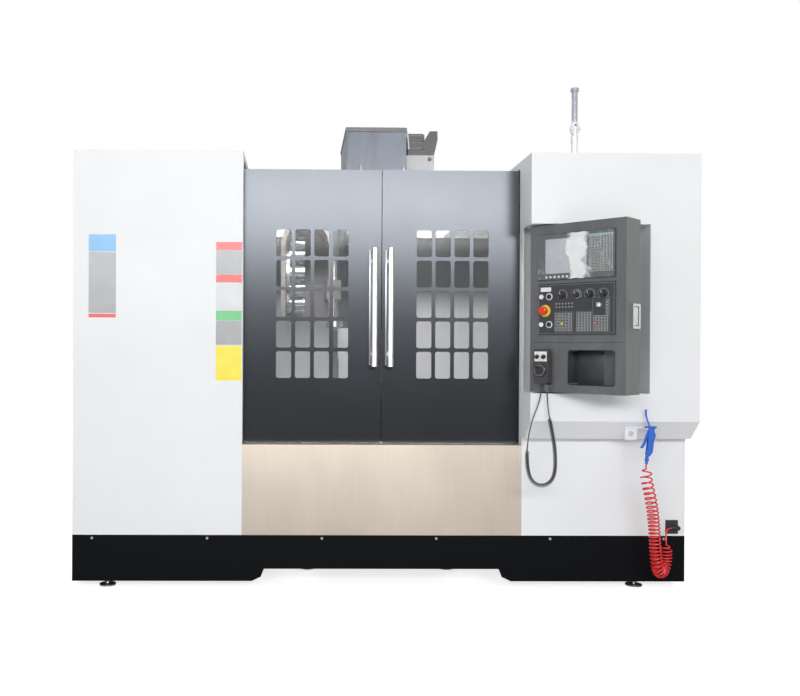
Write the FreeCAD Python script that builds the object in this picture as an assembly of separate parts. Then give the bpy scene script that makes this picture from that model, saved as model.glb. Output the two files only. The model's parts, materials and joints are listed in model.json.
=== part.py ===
import FreeCAD, Part
import math
import os

# Vertical machining centre with a two-door splash guard, an operator's control box on a swivel,
# a hand wheel pendant on its curly cord and an air gun on a coiled hose.
# Millimetres. X to the right seen from the front, Y to the rear, Z up. Every piece is drawn with the
# front of the base at Y = 0 and the floor at Z = 0, and is moved at the end to the row's origin.

V = FreeCAD.Vector
X_AXIS = V(1, 0, 0)
Y_AXIS = V(0, 1, 0)
Z_AXIS = V(0, 0, 1)

# ------------------------------------------------------------------ driving sizes
# Base and guards
BASE_WIDTH = 3000.0
BASE_BOTTOM = 35.0
BASE_TOP = 260.0
BASE_WALL = 5.0
BASE_FLANGE = 70.0
NOTCH_HEIGHT = 60.0
NOTCH_HALF_WIDTH = 637.0
NOTCH_SLOPE = 62.0
GUARD_DEPTH = 1480.0
SHEET = 3.0
LEFT_TOP = 2135.0
RIGHT_TOP = 2103.0
GUARD_FOLD = 34.0
OPENING_CENTRE_X = 9.0
OPENING_WIDTH = 1370.0
SILL_TOP = 702.0
SILL_DEPTH = 128.0

# Right cabinet's stepped front and its ledge
RIGHT_OVERHANG = 150.0
LEDGE_BOTTOM = 743.0
LEDGE_TOP = 834.0
LEDGE_REACH = 59.0

# Sliding doors
DOOR_SETBACK = 67.0
DOOR_THICKNESS = 40.0
DOOR_TOP = 2060.0
DOOR_SEAM = 4.0
DOOR_LAP = 30.0
DOOR_SILL_GAP = 3.0
PANE_WIDTH = 75.5
PANE_HEIGHT = 133.0
PANE_GAP_X = 18.6
PANE_GAP_Z = 18.0
PANE_COLUMNS = 4
PANE_ROWS = 5
PANE_CORNER = 12.0
PANE_TOP = 1762.0
LEFT_PANES_OFFSET = 344.5
RIGHT_PANES_OFFSET = 352.5
GLASS_THICKNESS = 5.0
GLASS_LAP = 18.0
HANDLE_RADIUS = 14.0
HANDLE_LENGTH = 580.0
HANDLE_BOTTOM = 1086.0
HANDLE_OFFSET = 40.0
HANDLE_STANDOFF = 55.0
HANDLE_POST_RADIUS = 8.0
HANDLE_POST_INSET = 60.0
RAIL_SECTION_Y = 34.0
RAIL_SECTION_Z = 44.0
RAIL_DROP = 24.0
GUIDE_BAR_WIDTH = 6.0
GUIDE_BAR_HEIGHT = 12.0
HANGER_LENGTH = 70.0
HANGER_SPACING = 420.0

# Feet
FOOT_PAD_RADIUS = 40.0
FOOT_PAD_HEIGHT = 12.0
FOOT_SCREW_RADIUS = 11.0
FOOT_NUT_RADIUS = 19.0
FOOT_NUT_HEIGHT = 14.0
FOOT_LEFT_X = -1340.0
FOOT_RIGHT_X = 1274.0
FOOT_FRONT_Y = 62.0

# Castings, table and travels
SPINDLE_X = 20.0
Y_TRAVEL = 600.0
Z_TRAVEL = 600.0
TABLE_LENGTH = 1200.0
TABLE_WIDTH = 600.0
TABLE_TOP = 900.0
TABLE_THICKNESS = 90.0
TABLE_POCKET_HALF_X = 230.0
TABLE_POCKET_HALF_Y = 55.0
TABLE_POCKET_OFFSET_Y = 215.0
TABLE_POCKET_RISE = 30.0
TEE_SLOT_COUNT = 5
TEE_SLOT_PITCH = 100.0
TEE_SLOT_WIDTH = 18.0
TEE_SLOT_DEPTH = 20.0
TEE_HEAD_WIDTH = 32.0
TEE_HEAD_HEIGHT = 14.0
BED_BOTTOM = 60.0
BED_TOP = 540.0
BED_FRONT_Y = 300.0
BED_HALF_WIDTH = 430.0
SADDLE_BOTTOM = 612.0
SADDLE_TOP = 716.0
SADDLE_HALF_DEPTH = 200.0
SADDLE_HALF_WIDTH = 830.0
SADDLE_WING_DEPTH = 60.0
SADDLE_BODY_HALF = 450.0
Y_RAIL_SPAN = 580.0
X_RAIL_SPAN = 300.0
Z_RAIL_SPAN = 230.0
RAIL_WIDTH = 45.0
RAIL_HEIGHT = 40.0
RAIL_GAP = 0.3
BLOCK_LENGTH = 140.0
BLOCK_WIDTH = 100.0
BLOCK_SPACING_X = 400.0
BLOCK_SPACING_Y = 240.0
BLOCK_SPACING_Z = 380.0
COLUMN_INSET = 38.0
COLUMN_DEPTH = 508.0
TABLE_REAR_GAP = 12.0
COLUMN_TOP = 2140.0
COLUMN_HALF_WIDTH = 330.0
COLUMN_FOOT_HALF = 560.0
ARCH_HALF_WIDTH = 385.0
ARCH_TOP = 760.0
SCREW_RADIUS = 20.0
SCREW_Y_RISE = 34.0
SCREW_X_RISE = 22.0
SCREW_Z_SETBACK = 34.0
BLOCK_CAP = 12.0
BLOCK_DEEP = 46.0
RUNNING_FIT = 0.05
SLIP_GAP = 0.3
MOTOR_SIZE = 112.0
MOTOR_LENGTH = 190.0
MOTOR_FLANGE = 16.0
MOTOR_REAR_COVER = 40.0
Y_MOTOR_GAP = 9.3
Z_MOUNT_HALF = 80.0
Z_MOUNT_LAP = 60.0
Z_MOUNT_HEIGHT = 30.0
BED_BRACKET_HALF = 60.0
BED_BRACKET_DROP = 60.0

# Way covers: nested folded plates, one set in front of the saddle, one behind it, one under the head
COVER_LENGTH = 212.0
COVER_HALF_WIDTH = 352.0
COVER_STEP = 8.0
COVER_SHEET = 2.0
COVER_TOP = 636.0
COVER_SKIRT = 40.0
COVER_LIP = 10.0
COVER_LEG = 9.0
FRONT_COVER_Y = 15.0
Z_COVER_HALF = 152.0
Z_COVER_STANDOFF = 36.0

# Head, spindle and its sheet-metal cover
HEAD_HALF_WIDTH = 163.0
HEAD_NOSE_DEPTH = 138.0
HEAD_TOP = 2040.0
HEAD_TABLE_GAP = 12.0
HEAD_BLOCK_RISE = 8.0
NOSE_Z = 1620.0
NOSE_RADIUS = 85.0
SPINDLE_RADIUS = 45.0
SPINDLE_FLANGE_RADIUS = 64.0
SPINDLE_FLANGE_HEIGHT = 20.0
TAPER_MOUTH_RADIUS = 22.225
TAPER_LENGTH = 65.0
TAPER_RATE = 7.0 / 48.0
DRAWBAR_RADIUS = 8.5
HEAD_COVER_REACH = 210.0
HEAD_COVER_DEPTH = 560.0
HEAD_COVER_BOTTOM = 1790.0
HEAD_COVER_TOP = 2388.0
HEAD_COVER_CAP = 25.0
SIDE_PLATE_RIGHT_X = 344.0
SIDE_PLATE_DROP = 144.0
SIDE_PLATE_SHEET = 3.0
SIDE_PLATE_SETBACK = 30.0
SIDE_PLATE_DEPTH = 230.0
SIDE_PLATE_LAP = 90.0
CARRIER_LEFT_X = 199.0
CARRIER_RIGHT_X = 292.0
CARRIER_DROP = 21.0
CARRIER_LINKS = 9
SPINDLE_MOTOR_SIZE = 190.0
SPINDLE_MOTOR_DROP = 16.0

# Tool magazine and change arm
POT_COUNT = 12
POT_CIRCLE_RADIUS = 190.0
POT_RADIUS = 30.0
POT_LENGTH = 100.0
POT_BORE_RADIUS = 22.0
POT_BORE_DEPTH = 60.0
POT_X = -420.0
DISC_PLATE = 16.0
DISC_HUB_WALL = 26.0
DISC_HUB_LENGTH = 80.0
DISC_Z = 1595.0
DISC_AXLE_RADIUS = 24.0
MAGAZINE_LEFT_X = -500.0
MAGAZINE_RIGHT_X = -215.0
MAGAZINE_TOP = 1880.0
MAGAZINE_SILL = 1345.0
MAGAZINE_MARGIN = 40.0
MAGAZINE_RIM = 26.0
GEARBOX_LEFT_X = -246.0
GEARBOX_RIGHT_X = -162.0
GEARBOX_TOP = 1560.0
GEARBOX_GAP = 16.0
BEAM_HEIGHT = 140.0
ARM_TOP = 1325.0
ARM_THICKNESS = 34.0
ARM_WIDTH = 48.0
ARM_SHAFT_RADIUS = 26.0
ARM_NECK_STEP = 12.0
ARM_CAP = 18.0
ARM_STROKE = 110.0
GRIP_RADIUS = 26.0
GRIP_WALL = 14.0

# Inner guards
INNER_LEFT_X = -1190.0
INNER_RIGHT_X = 1200.0
BACK_GUARD_GAP = 7.0
BACK_GUARD_TOP = 1901.0
BACK_SLOT_HALF_WIDTH = 200.0
TROUGH_Z = 470.0
GUARD_CLEARANCE = 12.0
GUARD_SLOPE_GAP = 4.0
BACK_ARCH_DROP = 60.0

# Electrical cabinet at the rear
ELECTRIC_LEFT_X = 640.0
ELECTRIC_RIGHT_X = 1440.0
ELECTRIC_BOTTOM = 420.0
ELECTRIC_TOP = 1980.0
ELECTRIC_DEPTH = 420.0
ELECTRIC_DOOR = 24.0
HINGE_RADIUS = 9.0
HINGE_LOW = 150.0
HINGE_HIGH = 200.0
KNUCKLE_LENGTH = 50.0
HINGE_CAP = 22.0
HINGE_LEAF = 3.0
BACK_PLATE_THICKNESS = 12.0
BACK_PLATE_MARGIN_X = 40.0
BACK_PLATE_MARGIN_Z = 60.0
DRIVE_COUNT = 4
DRIVE_PITCH = 150.0
DRIVE_WIDTH = 110.0
DRIVE_INSET = 90.0
DRIVE_REACH = 230.0
DRIVE_BOTTOM = 1180.0
DRIVE_TOP = 1560.0
VENT_INSET = 250.0
VENT_BOTTOM = 560.0
VENT_PITCH = 30.0
VENT_HEIGHT = 10.0
VENT_DEPTH = 8.0
VENT_SLOTS = 5
DOOR_GRIP_INSET = 36.0
DOOR_GRIP_WIDTH = 18.0
DOOR_GRIP_OUT = 22.0
DOOR_GRIP_BOTTOM = 1120.0
DOOR_GRIP_HEIGHT = 140.0

# Control box, drawn with its face's lower left corner at the local origin, then turned
PANEL_WIDTH = 474.0
PANEL_HEIGHT = 790.0
PANEL_DEPTH = 140.0
PANEL_CORNER_X = 710.0
PANEL_CORNER_Y = -81.0
PANEL_BOTTOM = 972.0
PANEL_TURN = 46.0
PIVOT_INSET_X = 60.0
PIVOT_INSET_Y = 100.0
PIVOT_RADIUS = 10.0
PIVOT_END = 8.0
PIVOT_WASHER_RADIUS = 20.0
RECESS_GAP = 6.0
RECESS_RIGHT_X = 1260.0
RECESS_BACK_Y = 45.0
RECESS_LEFT_EDGE_Y = -10.0
DISPLAY_LEFT = 40.0
DISPLAY_RIGHT = 428.0
DISPLAY_BOTTOM = 527.0
DISPLAY_TOP = 744.0
OPERATOR_LEFT = 47.0
OPERATOR_RIGHT = 428.0
OPERATOR_BOTTOM = 270.0
OPERATOR_TOP = 511.0
UNIT_PROUD = 5.0
UNIT_SEAT = 20.0
CREASE_Z = 235.0
GLAND_X = 106.0
GLAND_OUT = 24.0
GLAND_Z = 14.0
GLAND_DROP = 10.0
POCKET_LEFT = 195.0
POCKET_RIGHT = 426.0
POCKET_BOTTOM = 37.0
POCKET_TOP = 200.0
POCKET_DEPTH = 90.0
POCKET_CORNER = 16.0
SCREEN_LEFT = 78.0
SCREEN_RIGHT = 290.0
SCREEN_BOTTOM = 556.0
SCREEN_TOP = 722.0
SCREEN_SUNK = 3.0
PULL_WIDTH = 70.0
PULL_HEIGHT = 110.0
PULL_BOTTOM = 298.0
PULL_INSET = 53.0
PULL_PROUD = 9.0
PULL_FLOOR = 2.0
PULL_RIM = 12.0

# Switches on the operator's panel: place across, place up
ROTARY_Z = 455.0
ROTARY_X = (170.0, 242.0, 306.0, 371.0)
ROTARY_RADIUS = 13.0
ROTARY_HEIGHT = 20.0
ROTARY_COLLAR_RADIUS = 19.0
KEY_X = 353.0
KEY_Z = 405.0
KEY_RADIUS = 10.0
STOP_X = 82.0
STOP_Z = 384.0
STOP_RADIUS = 20.0
STOP_HEIGHT = 30.0
STOP_RING_RADIUS = 29.0
BUTTON_X = (64.0, 103.5)
BUTTON_Z = (319.0, 450.0)
BUTTON_RADIUS = 11.0
BUTTON_HEIGHT = 7.0
BUTTON_BEZEL_RADIUS = 15.0
BUTTON_BEZEL_HEIGHT = 3.0
BUTTON_TRAVEL = 4.0
COLLAR_HEIGHT = 2.0
SWITCH_STEM_RADIUS = 6.0
SWITCH_STEM_DEPTH = 14.0
KEY_SIZE = 11.0
KEY_PITCH = 14.5
KEY_PROUD = 2.0
KEY_GROUPS = ((135.0, 288.0, 6, 6), (243.0, 288.0, 5, 6), (325.0, 288.0, 5, 5))
DISPLAY_KEY_COLUMNS = 8
DISPLAY_KEY_ROWS = 12
DISPLAY_KEYS_RIGHT_OF_SCREEN = 12.0
DISPLAY_KEYS_UP = 30.0
SOFT_KEY_COUNT = 10
SOFT_KEY_PITCH = 21.0
SOFT_KEY_WIDTH = 16.0
SOFT_KEY_HEIGHT = 10.0
SOFT_KEY_INSET = 5.0
SOFT_KEY_UP = 9.0
CARD_COVER_INSET = 10.0
CARD_COVER_WIDTH = 18.0
CARD_COVER_UP = 90.0
CARD_COVER_HEIGHT = 90.0
COUNTER_LEFT = 249.0
COUNTER_BOTTOM = 396.0
COUNTER_WIDTH = 60.0
COUNTER_HEIGHT = 16.0

# Pendant with its hand wheel
PENDANT_LEFT = 50.0
PENDANT_WIDTH = 74.0
PENDANT_BOTTOM = 42.0
PENDANT_HEIGHT = 162.0
PENDANT_DEPTH = 38.0
PENDANT_CORNER = 12.0
HOLDER_THICKNESS = 16.0
HOLDER_PLATE = 3.0
HOLDER_MARGIN_LEFT = 12.0
HOLDER_MARGIN_RIGHT = 8.0
HOLDER_WEB_HALF = 14.0
HOLDER_SHELF_HALF = 20.0
DIAL_RADIUS = 30.0
DIAL_HEIGHT = 12.0
DIAL_UP = 62.0
SELECTOR_UP = 126.0
SELECTOR_INSET = 20.0
SELECTOR_RADIUS = 10.0
SELECTOR_HEIGHT = 14.0
SELECTOR_GRIP_HEIGHT = 5.0
SELECTOR_GRIP_HALF = 2.5
PENDANT_STEM_LENGTH = 9.0
DIAL_RIM = 3.0
RELIEF_LENGTH = 22.0
RELIEF_OFFSET = 4.0
RELIEF_SHARE = 0.62
PENDANT_WIRE_RADIUS = 3.0
PENDANT_COIL_RADIUS = 7.0
PENDANT_COIL_PITCHES = ((0.0, 17.0), (0.04, 9.2), (0.5, 9.0), (0.96, 9.2), (1.0, 17.0))
PENDANT_COIL_START = 296.0
PENDANT_COIL_END = 854.0
PENDANT_CORD_POINTS = (
    (722.0, -170.0, 905.0),
    (697.0, -173.0, 845.0),
    (682.0, -177.0, 789.0),
    (673.0, -182.0, 735.0),
    (668.0, -188.0, 680.0),
    (669.0, -192.0, 628.0),
    (676.0, -195.0, 585.0),
    (692.0, -197.0, 555.0),
    (719.0, -198.0, 538.0),
    (751.0, -198.0, 538.0),
    (779.0, -197.0, 556.0),
    (795.0, -196.0, 588.0),
    (800.0, -195.0, 640.0),
    (797.0, -194.0, 704.0),
    (788.0, -192.0, 768.0),
    (777.0, -188.0, 830.0),
    (770.0, -180.0, 884.0),
)
CORD_EXIT_RUN = 32.0

# Air gun and coiled hose
GUN_Y = -176.0
PRONG_TOP = 806.0
PRONG_X = (1231.0, 1272.0)
INLET_X = 1239.0
INLET_Z = 676.0
INLET_WAY = (-0.1, 0.0, -1.0)
INLET_LENGTH = 40.0
GUN_HALF_THICKNESS = 11.0
TRIGGER_HALF_THICKNESS = 5.0
TRIGGER_SIDE_GAP = 0.5
TRIGGER_PIN_X = 1243.0
TRIGGER_PIN_Z = 782.0
TRIGGER_PIN_RADIUS = 2.0
TRIGGER_PIN_LENGTH = 18.0
HOSE_RADIUS = 3.5
HOSE_COIL_RADIUS = 25.0
HOSE_COIL_PITCHES = (
    (0.0, 32.0),
    (0.35, 18.0),
    (0.6, 17.0),
    (0.7, 18.5),
    (0.82, 16.0),
    (0.95, 16.0),
    (1.0, 26.0),
)
HOSE_COIL_START = 12.0
HOSE_COIL_END = 728.0
HOSE_POINTS = (
    (1232.0, -176.0, 606.0),
    (1237.0, -175.0, 560.0),
    (1256.0, -168.0, 490.0),
    (1273.0, -158.0, 420.0),
    (1284.0, -150.0, 350.0),
    (1290.0, -145.0, 280.0),
    (1296.0, -142.0, 208.0),
    (1303.0, -139.0, 150.0),
    (1313.5, -128.5, 123.5),
    (1332.0, -110.0, 108.0),
    (1354.0, -88.0, 108.0),
    (1372.5, -69.5, 123.5),
    (1383.0, -59.0, 152.0),
    (1385.0, -57.0, 208.0),
    (1385.0, -54.0, 256.0),
    (1391.0, -38.0, 290.0),
    (1406.0, -26.0, 304.0),
)
BRANCH_LENGTH = 26.0
BRANCH_OUT = 26.0
CORNER_SHARE = 0.45
LEAD_TURNS = 1.0
FITTING_X = 1454.0
FITTING_Z = 304.0
FITTING_PLATE = 2.0

# Signal light
LAMP_X = 977.0
LAMP_Y = 100.0
LAMP_BASE_RADIUS = 16.0
LAMP_NECK_RADIUS = 18.0
LAMP_NECK_BOTTOM = 2215.0
LAMP_NECK_TOP = 2246.0
LAMP_PIVOT_RADIUS = 24.0
LAMP_PIVOT_Z = 2280.0
LAMP_PIN_RADIUS = 4.0
LAMP_TUBE_RADIUS = 14.5
LAMP_TUBE_TOP = 2467.0
LAMP_CAP_RADIUS = 20.5
LAMP_TOP = 2488.0
LAMP_TONGUE_HALF = 5.0
LAMP_TONGUE_GAP = 0.3

# ------------------------------------------------------------------ worked out from them
HALF_BASE = BASE_WIDTH / 2
OPENING_LEFT_X = OPENING_CENTRE_X - OPENING_WIDTH / 2
OPENING_RIGHT_X = OPENING_CENTRE_X + OPENING_WIDTH / 2
DOOR_BACK_Y = DOOR_SETBACK + DOOR_THICKNESS
DOOR_BOTTOM = SILL_TOP + DOOR_SILL_GAP
RETURN_END_Y = DOOR_SETBACK - 9.0
COLUMN_FRONT_Y = GUARD_DEPTH - COLUMN_INSET
COLUMN_REAR_Y = COLUMN_FRONT_Y + COLUMN_DEPTH
BACK_GUARD_Y = COLUMN_FRONT_Y - BACK_GUARD_GAP
TABLE_BOTTOM = TABLE_TOP - TABLE_THICKNESS
BED_RAIL_BASE = SADDLE_BOTTOM - RAIL_HEIGHT - BLOCK_CAP
SCREW_Y_Z = BED_TOP + SCREW_Y_RISE
SCREW_X_Z = SADDLE_TOP + SCREW_X_RISE
SCREW_Z_Y = COLUMN_FRONT_Y - SCREW_Z_SETBACK
Z_COVER_FRONT_Y = COLUMN_FRONT_Y - RAIL_HEIGHT - Z_COVER_STANDOFF
TABLE_LIMIT_Y = Z_COVER_FRONT_Y - 3 * COVER_STEP - TABLE_REAR_GAP
SPINDLE_Y = TABLE_LIMIT_Y - (Y_TRAVEL + TABLE_WIDTH) / 2
HEAD_FRONT_Y = SPINDLE_Y - HEAD_NOSE_DEPTH
HEAD_COVER_FRONT_Y = SPINDLE_Y - HEAD_COVER_REACH
SIDE_PLATE_TOP = HEAD_COVER_TOP - SIDE_PLATE_DROP
CARRIER_TOP = HEAD_COVER_TOP - CARRIER_DROP
SPINDLE_MOTOR_TOP = HEAD_COVER_TOP - SPINDLE_MOTOR_DROP
HEAD_LEFT_X = SPINDLE_X - HEAD_HALF_WIDTH
HEAD_RIGHT_X = SPINDLE_X + HEAD_HALF_WIDTH
HEAD_BACK_Y = COLUMN_FRONT_Y - RAIL_HEIGHT - BLOCK_CAP
HEAD_BACK_BOTTOM = TABLE_TOP + Z_TRAVEL + HEAD_TABLE_GAP
SADDLE_FRONT_Y = SPINDLE_Y - SADDLE_HALF_DEPTH
SADDLE_BACK_Y = SPINDLE_Y + SADDLE_HALF_DEPTH
REAR_COVER_END_Y = SADDLE_BACK_Y + Y_TRAVEL / 2 + COVER_LENGTH + 3.0
Z_COVER_BOTTOM = HEAD_BACK_BOTTOM - Z_TRAVEL - COVER_LENGTH - 3.0
ARM_X = (SPINDLE_X + POT_X) / 2
ARM_REACH = (SPINDLE_X - POT_X) / 2
ELECTRIC_BACK_Y = GUARD_DEPTH + ELECTRIC_DEPTH
PANEL_TOP = PANEL_BOTTOM + PANEL_HEIGHT
TURN = math.radians(PANEL_TURN)
RECESS_BOTTOM = PANEL_BOTTOM - RECESS_GAP
RECESS_TOP = PANEL_TOP + RECESS_GAP
PANEL_FRONT_Y = PANEL_CORNER_Y - PANEL_WIDTH * math.sin(TURN)
MACHINE_SHIFT_Y = -(PANEL_FRONT_Y + COLUMN_REAR_Y) / 2
FACE_OUT = V(-math.sin(TURN), -math.cos(TURN), 0)
FACE_ACROSS = V(math.cos(TURN), -math.sin(TURN), 0)
PENDANT_BACK = HOLDER_THICKNESS
PENDANT_FRONT = HOLDER_THICKNESS + PENDANT_DEPTH
RELIEF_X = PENDANT_LEFT + PENDANT_WIDTH / 2 - RELIEF_OFFSET
RELIEF_Y = -PENDANT_BACK - PENDANT_DEPTH * RELIEF_SHARE


# ------------------------------------------------------------------ plain helpers
def box(x0, x1, y0, y1, z0, z1):
    return Part.makeBox(x1 - x0, y1 - y0, z1 - z0, V(x0, y0, z0))


def rod(start, axis, radius, length):
    return Part.makeCylinder(radius, length, start, axis)


def joined(*shapes):
    return shapes[0].multiFuse(list(shapes[1:])).removeSplitter()


def cut(shape, *tools):
    return shape.cut(list(tools)).removeSplitter()


def face_of(points):
    return Part.Face(Part.makePolygon(points + points[:1]))


def prism_x(outline, x0, x1):
    """A Y, Z outline drawn out along X."""
    return face_of([V(x0, y, z) for y, z in outline]).extrude(V(x1 - x0, 0, 0))


def prism_y(outline, y0, y1):
    """An X, Z outline drawn out along Y."""
    return face_of([V(x, y0, z) for x, z in outline]).extrude(V(0, y1 - y0, 0))


def prism_z(outline, z0, z1):
    """An X, Y outline drawn out along Z."""
    return face_of([V(x, y, z0) for x, y in outline]).extrude(V(0, 0, z1 - z0))


def round_bar_y(x0, x1, y0, y1, z0, z1, radius):
    """A block along Y with its four long edges rounded."""
    block = box(x0, x1, y0, y1, z0, z1)
    along = [e for e in block.Edges if abs(e.tangentAt(e.FirstParameter).y) > 0.9]
    return block.makeFillet(radius, along)


def revolved(profile, centre, axis=Z_AXIS):
    """A radius, height profile turned about an axis through a point."""
    outline = [V(r, 0, h) for r, h in profile]
    shape = face_of(outline).revolve(V(0, 0, 0), Z_AXIS, 360)
    shape.Placement = FreeCAD.Placement(centre, FreeCAD.Rotation(Z_AXIS, axis))
    return shape


def many(solids):
    return Part.Compound(list(solids))


# ------------------------------------------------------------------ base and feet
def foot_places():
    rows = (FOOT_FRONT_Y, GUARD_DEPTH / 2, GUARD_DEPTH - FOOT_FRONT_Y)
    return [(x, y) for y in rows for x in (FOOT_LEFT_X, FOOT_RIGHT_X)]


def bed_foot_places():
    rows = (BED_FRONT_Y + 80.0, SPINDLE_Y + 60.0, COLUMN_FRONT_Y - 20.0, COLUMN_REAR_Y - 90.0)
    across = BED_HALF_WIDTH - 60.0
    return [(SPINDLE_X + s * across, y) for y in rows for s in (-1, 1)]


def levelling_foot(x, y, seat):
    """A pad, its screw and the nut under the seat that it carries."""
    top = seat
    return revolved(
        [
            (0, 0),
            (FOOT_PAD_RADIUS, 0),
            (FOOT_PAD_RADIUS, FOOT_PAD_HEIGHT * 0.6),
            (FOOT_SCREW_RADIUS * 1.6, FOOT_PAD_HEIGHT),
            (FOOT_SCREW_RADIUS, FOOT_PAD_HEIGHT),
            (FOOT_SCREW_RADIUS, top - FOOT_NUT_HEIGHT),
            (FOOT_NUT_RADIUS, top - FOOT_NUT_HEIGHT),
            (FOOT_NUT_RADIUS, top),
            (0, top),
        ],
        V(x, y, 0),
    )


def levelling_feet():
    feet = [levelling_foot(x, y, BASE_BOTTOM) for x, y in foot_places()]
    feet += [levelling_foot(x, y, BED_BOTTOM) for x, y in bed_foot_places()]
    return many(feet)


def base_skirt():
    """The black folded base, open inside, with a raised notch in its front and rear walls."""
    outer = box(-HALF_BASE, HALF_BASE, 0, GUARD_DEPTH, BASE_BOTTOM, BASE_TOP)
    w = BASE_WALL
    inner = box(-HALF_BASE + w, HALF_BASE - w, w, GUARD_DEPTH - w, BASE_BOTTOM + w, BASE_TOP - w)
    f = BASE_FLANGE
    well = box(-HALF_BASE + f, HALF_BASE - f, f, GUARD_DEPTH + 1, BASE_BOTTOM - 1, BASE_TOP + 1)
    rear_gap = box(
        SPINDLE_X - COLUMN_FOOT_HALF - f,
        SPINDLE_X + COLUMN_FOOT_HALF + f,
        GUARD_DEPTH - f - 1,
        GUARD_DEPTH + 1,
        BASE_BOTTOM - 1,
        BASE_TOP + 1,
    )
    rear_wall = box(-HALF_BASE + f, HALF_BASE - f, GUARD_DEPTH - w, GUARD_DEPTH, BASE_BOTTOM, BASE_TOP)
    notch = prism_y(
        [
            (OPENING_CENTRE_X - NOTCH_HALF_WIDTH, BASE_BOTTOM - 1),
            (OPENING_CENTRE_X + NOTCH_HALF_WIDTH, BASE_BOTTOM - 1),
            (OPENING_CENTRE_X + NOTCH_HALF_WIDTH - NOTCH_SLOPE * 0.75, BASE_BOTTOM + NOTCH_HEIGHT * 0.35),
            (OPENING_CENTRE_X + NOTCH_HALF_WIDTH - NOTCH_SLOPE, BASE_BOTTOM + NOTCH_HEIGHT),
            (OPENING_CENTRE_X - NOTCH_HALF_WIDTH + NOTCH_SLOPE, BASE_BOTTOM + NOTCH_HEIGHT),
            (OPENING_CENTRE_X - NOTCH_HALF_WIDTH + NOTCH_SLOPE * 0.75, BASE_BOTTOM + NOTCH_HEIGHT * 0.35),
        ],
        -1,
        BASE_FLANGE + 1,
    )
    brackets = [foot_bracket(x, y) for x, y in foot_places() if y > BASE_FLANGE]
    ring = cut(outer, inner, well)
    return cut(joined(ring, rear_wall, *brackets), notch, rear_gap)


def foot_bracket(x, y):
    """Shelf from the base's side wall out over a levelling foot."""
    side = 1 if x > 0 else -1
    x0, x1 = sorted((x - side * FOOT_PAD_RADIUS, side * (HALF_BASE - BASE_WALL)))
    return box(x0, x1, y - FOOT_PAD_RADIUS, y + FOOT_PAD_RADIUS, BASE_BOTTOM, BASE_BOTTOM + BASE_WALL)


# ------------------------------------------------------------------ cabinets and apron
def left_cabinet():
    """Folded sheet shell, open below and towards the doors, whose edge folds back beside the door."""
    outer = box(-HALF_BASE, OPENING_LEFT_X, 0, GUARD_DEPTH, BASE_TOP, LEFT_TOP)
    s = SHEET
    inner = box(-HALF_BASE + s, OPENING_LEFT_X + 1, s, GUARD_DEPTH - s, BASE_TOP - 1, LEFT_TOP - s)
    edge = box(OPENING_LEFT_X - s, OPENING_LEFT_X, 0, RETURN_END_Y, BASE_TOP, LEFT_TOP)
    roof_fold = box(OPENING_LEFT_X - s, OPENING_LEFT_X, 0, GUARD_DEPTH, LEFT_TOP - GUARD_FOLD, LEFT_TOP)
    return joined(cut(outer, inner), edge, roof_fold)


def right_front_outline(inset, bottom, rear):
    """The stepped Y, Z outline of the right cabinet, drawn in by a sheet's thickness."""
    corner = inset * 0.414
    return [
        (inset, bottom),
        (inset, LEDGE_BOTTOM + inset),
        (-LEDGE_REACH + corner, LEDGE_BOTTOM + inset),
        (-RIGHT_OVERHANG + inset, LEDGE_TOP + corner),
        (-RIGHT_OVERHANG + inset, RIGHT_TOP - inset),
        (rear - inset, RIGHT_TOP - inset),
        (rear - inset, bottom),
    ]


def panel_pivot():
    across = V(FACE_ACROSS).multiply(PIVOT_INSET_X)
    inward = V(FACE_OUT).multiply(-PIVOT_INSET_Y)
    return V(PANEL_CORNER_X, PANEL_CORNER_Y, 0).add(across).add(inward)


def right_cabinet():
    """Folded sheet shell with the overhanging front, the ledge and the control box's recess."""
    s = SHEET
    outer = prism_x(right_front_outline(0, BASE_TOP, GUARD_DEPTH), OPENING_RIGHT_X, HALF_BASE)
    inner = prism_x(right_front_outline(s, BASE_TOP - 1, GUARD_DEPTH), OPENING_RIGHT_X - 1, HALF_BASE - s)
    edge = prism_x(right_front_outline(0, BASE_TOP, RETURN_END_Y), OPENING_RIGHT_X, OPENING_RIGHT_X + s)
    roof_fold = box(
        OPENING_RIGHT_X, OPENING_RIGHT_X + s, 0, GUARD_DEPTH, RIGHT_TOP - GUARD_FOLD, RIGHT_TOP
    )
    shell = joined(cut(outer, inner), edge, roof_fold)
    mouth = box(
        OPENING_RIGHT_X - 1,
        RECESS_RIGHT_X,
        -RIGHT_OVERHANG - 1,
        RECESS_LEFT_EDGE_Y,
        RECESS_BOTTOM,
        RECESS_TOP,
    )
    liner = cut(
        box(
            OPENING_RIGHT_X + s,
            RECESS_RIGHT_X + s,
            -RIGHT_OVERHANG + s,
            RECESS_BACK_Y + s,
            RECESS_BOTTOM - s,
            RECESS_TOP + s,
        ),
        box(
            OPENING_RIGHT_X,
            RECESS_RIGHT_X,
            -RIGHT_OVERHANG,
            RECESS_BACK_Y,
            RECESS_BOTTOM,
            RECESS_TOP,
        ),
    )
    pivot = panel_pivot()
    boss_height = 9.0
    upper_boss = rod(V(pivot.x, pivot.y, RECESS_TOP), Z_AXIS, PIVOT_WASHER_RADIUS, s + boss_height)
    lower_boss = rod(
        V(pivot.x, pivot.y, RECESS_BOTTOM - s - boss_height), Z_AXIS, PIVOT_WASHER_RADIUS, s + boss_height
    )
    pin_hole = rod(
        V(pivot.x, pivot.y, RECESS_BOTTOM - 50), Z_AXIS, PIVOT_RADIUS + RUNNING_FIT, PANEL_HEIGHT + 100
    )
    body = joined(cut(shell, mouth), liner, upper_boss, lower_boss)
    hook = gun_hook()
    return joined(cut(body, pin_hole), hook)


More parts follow.
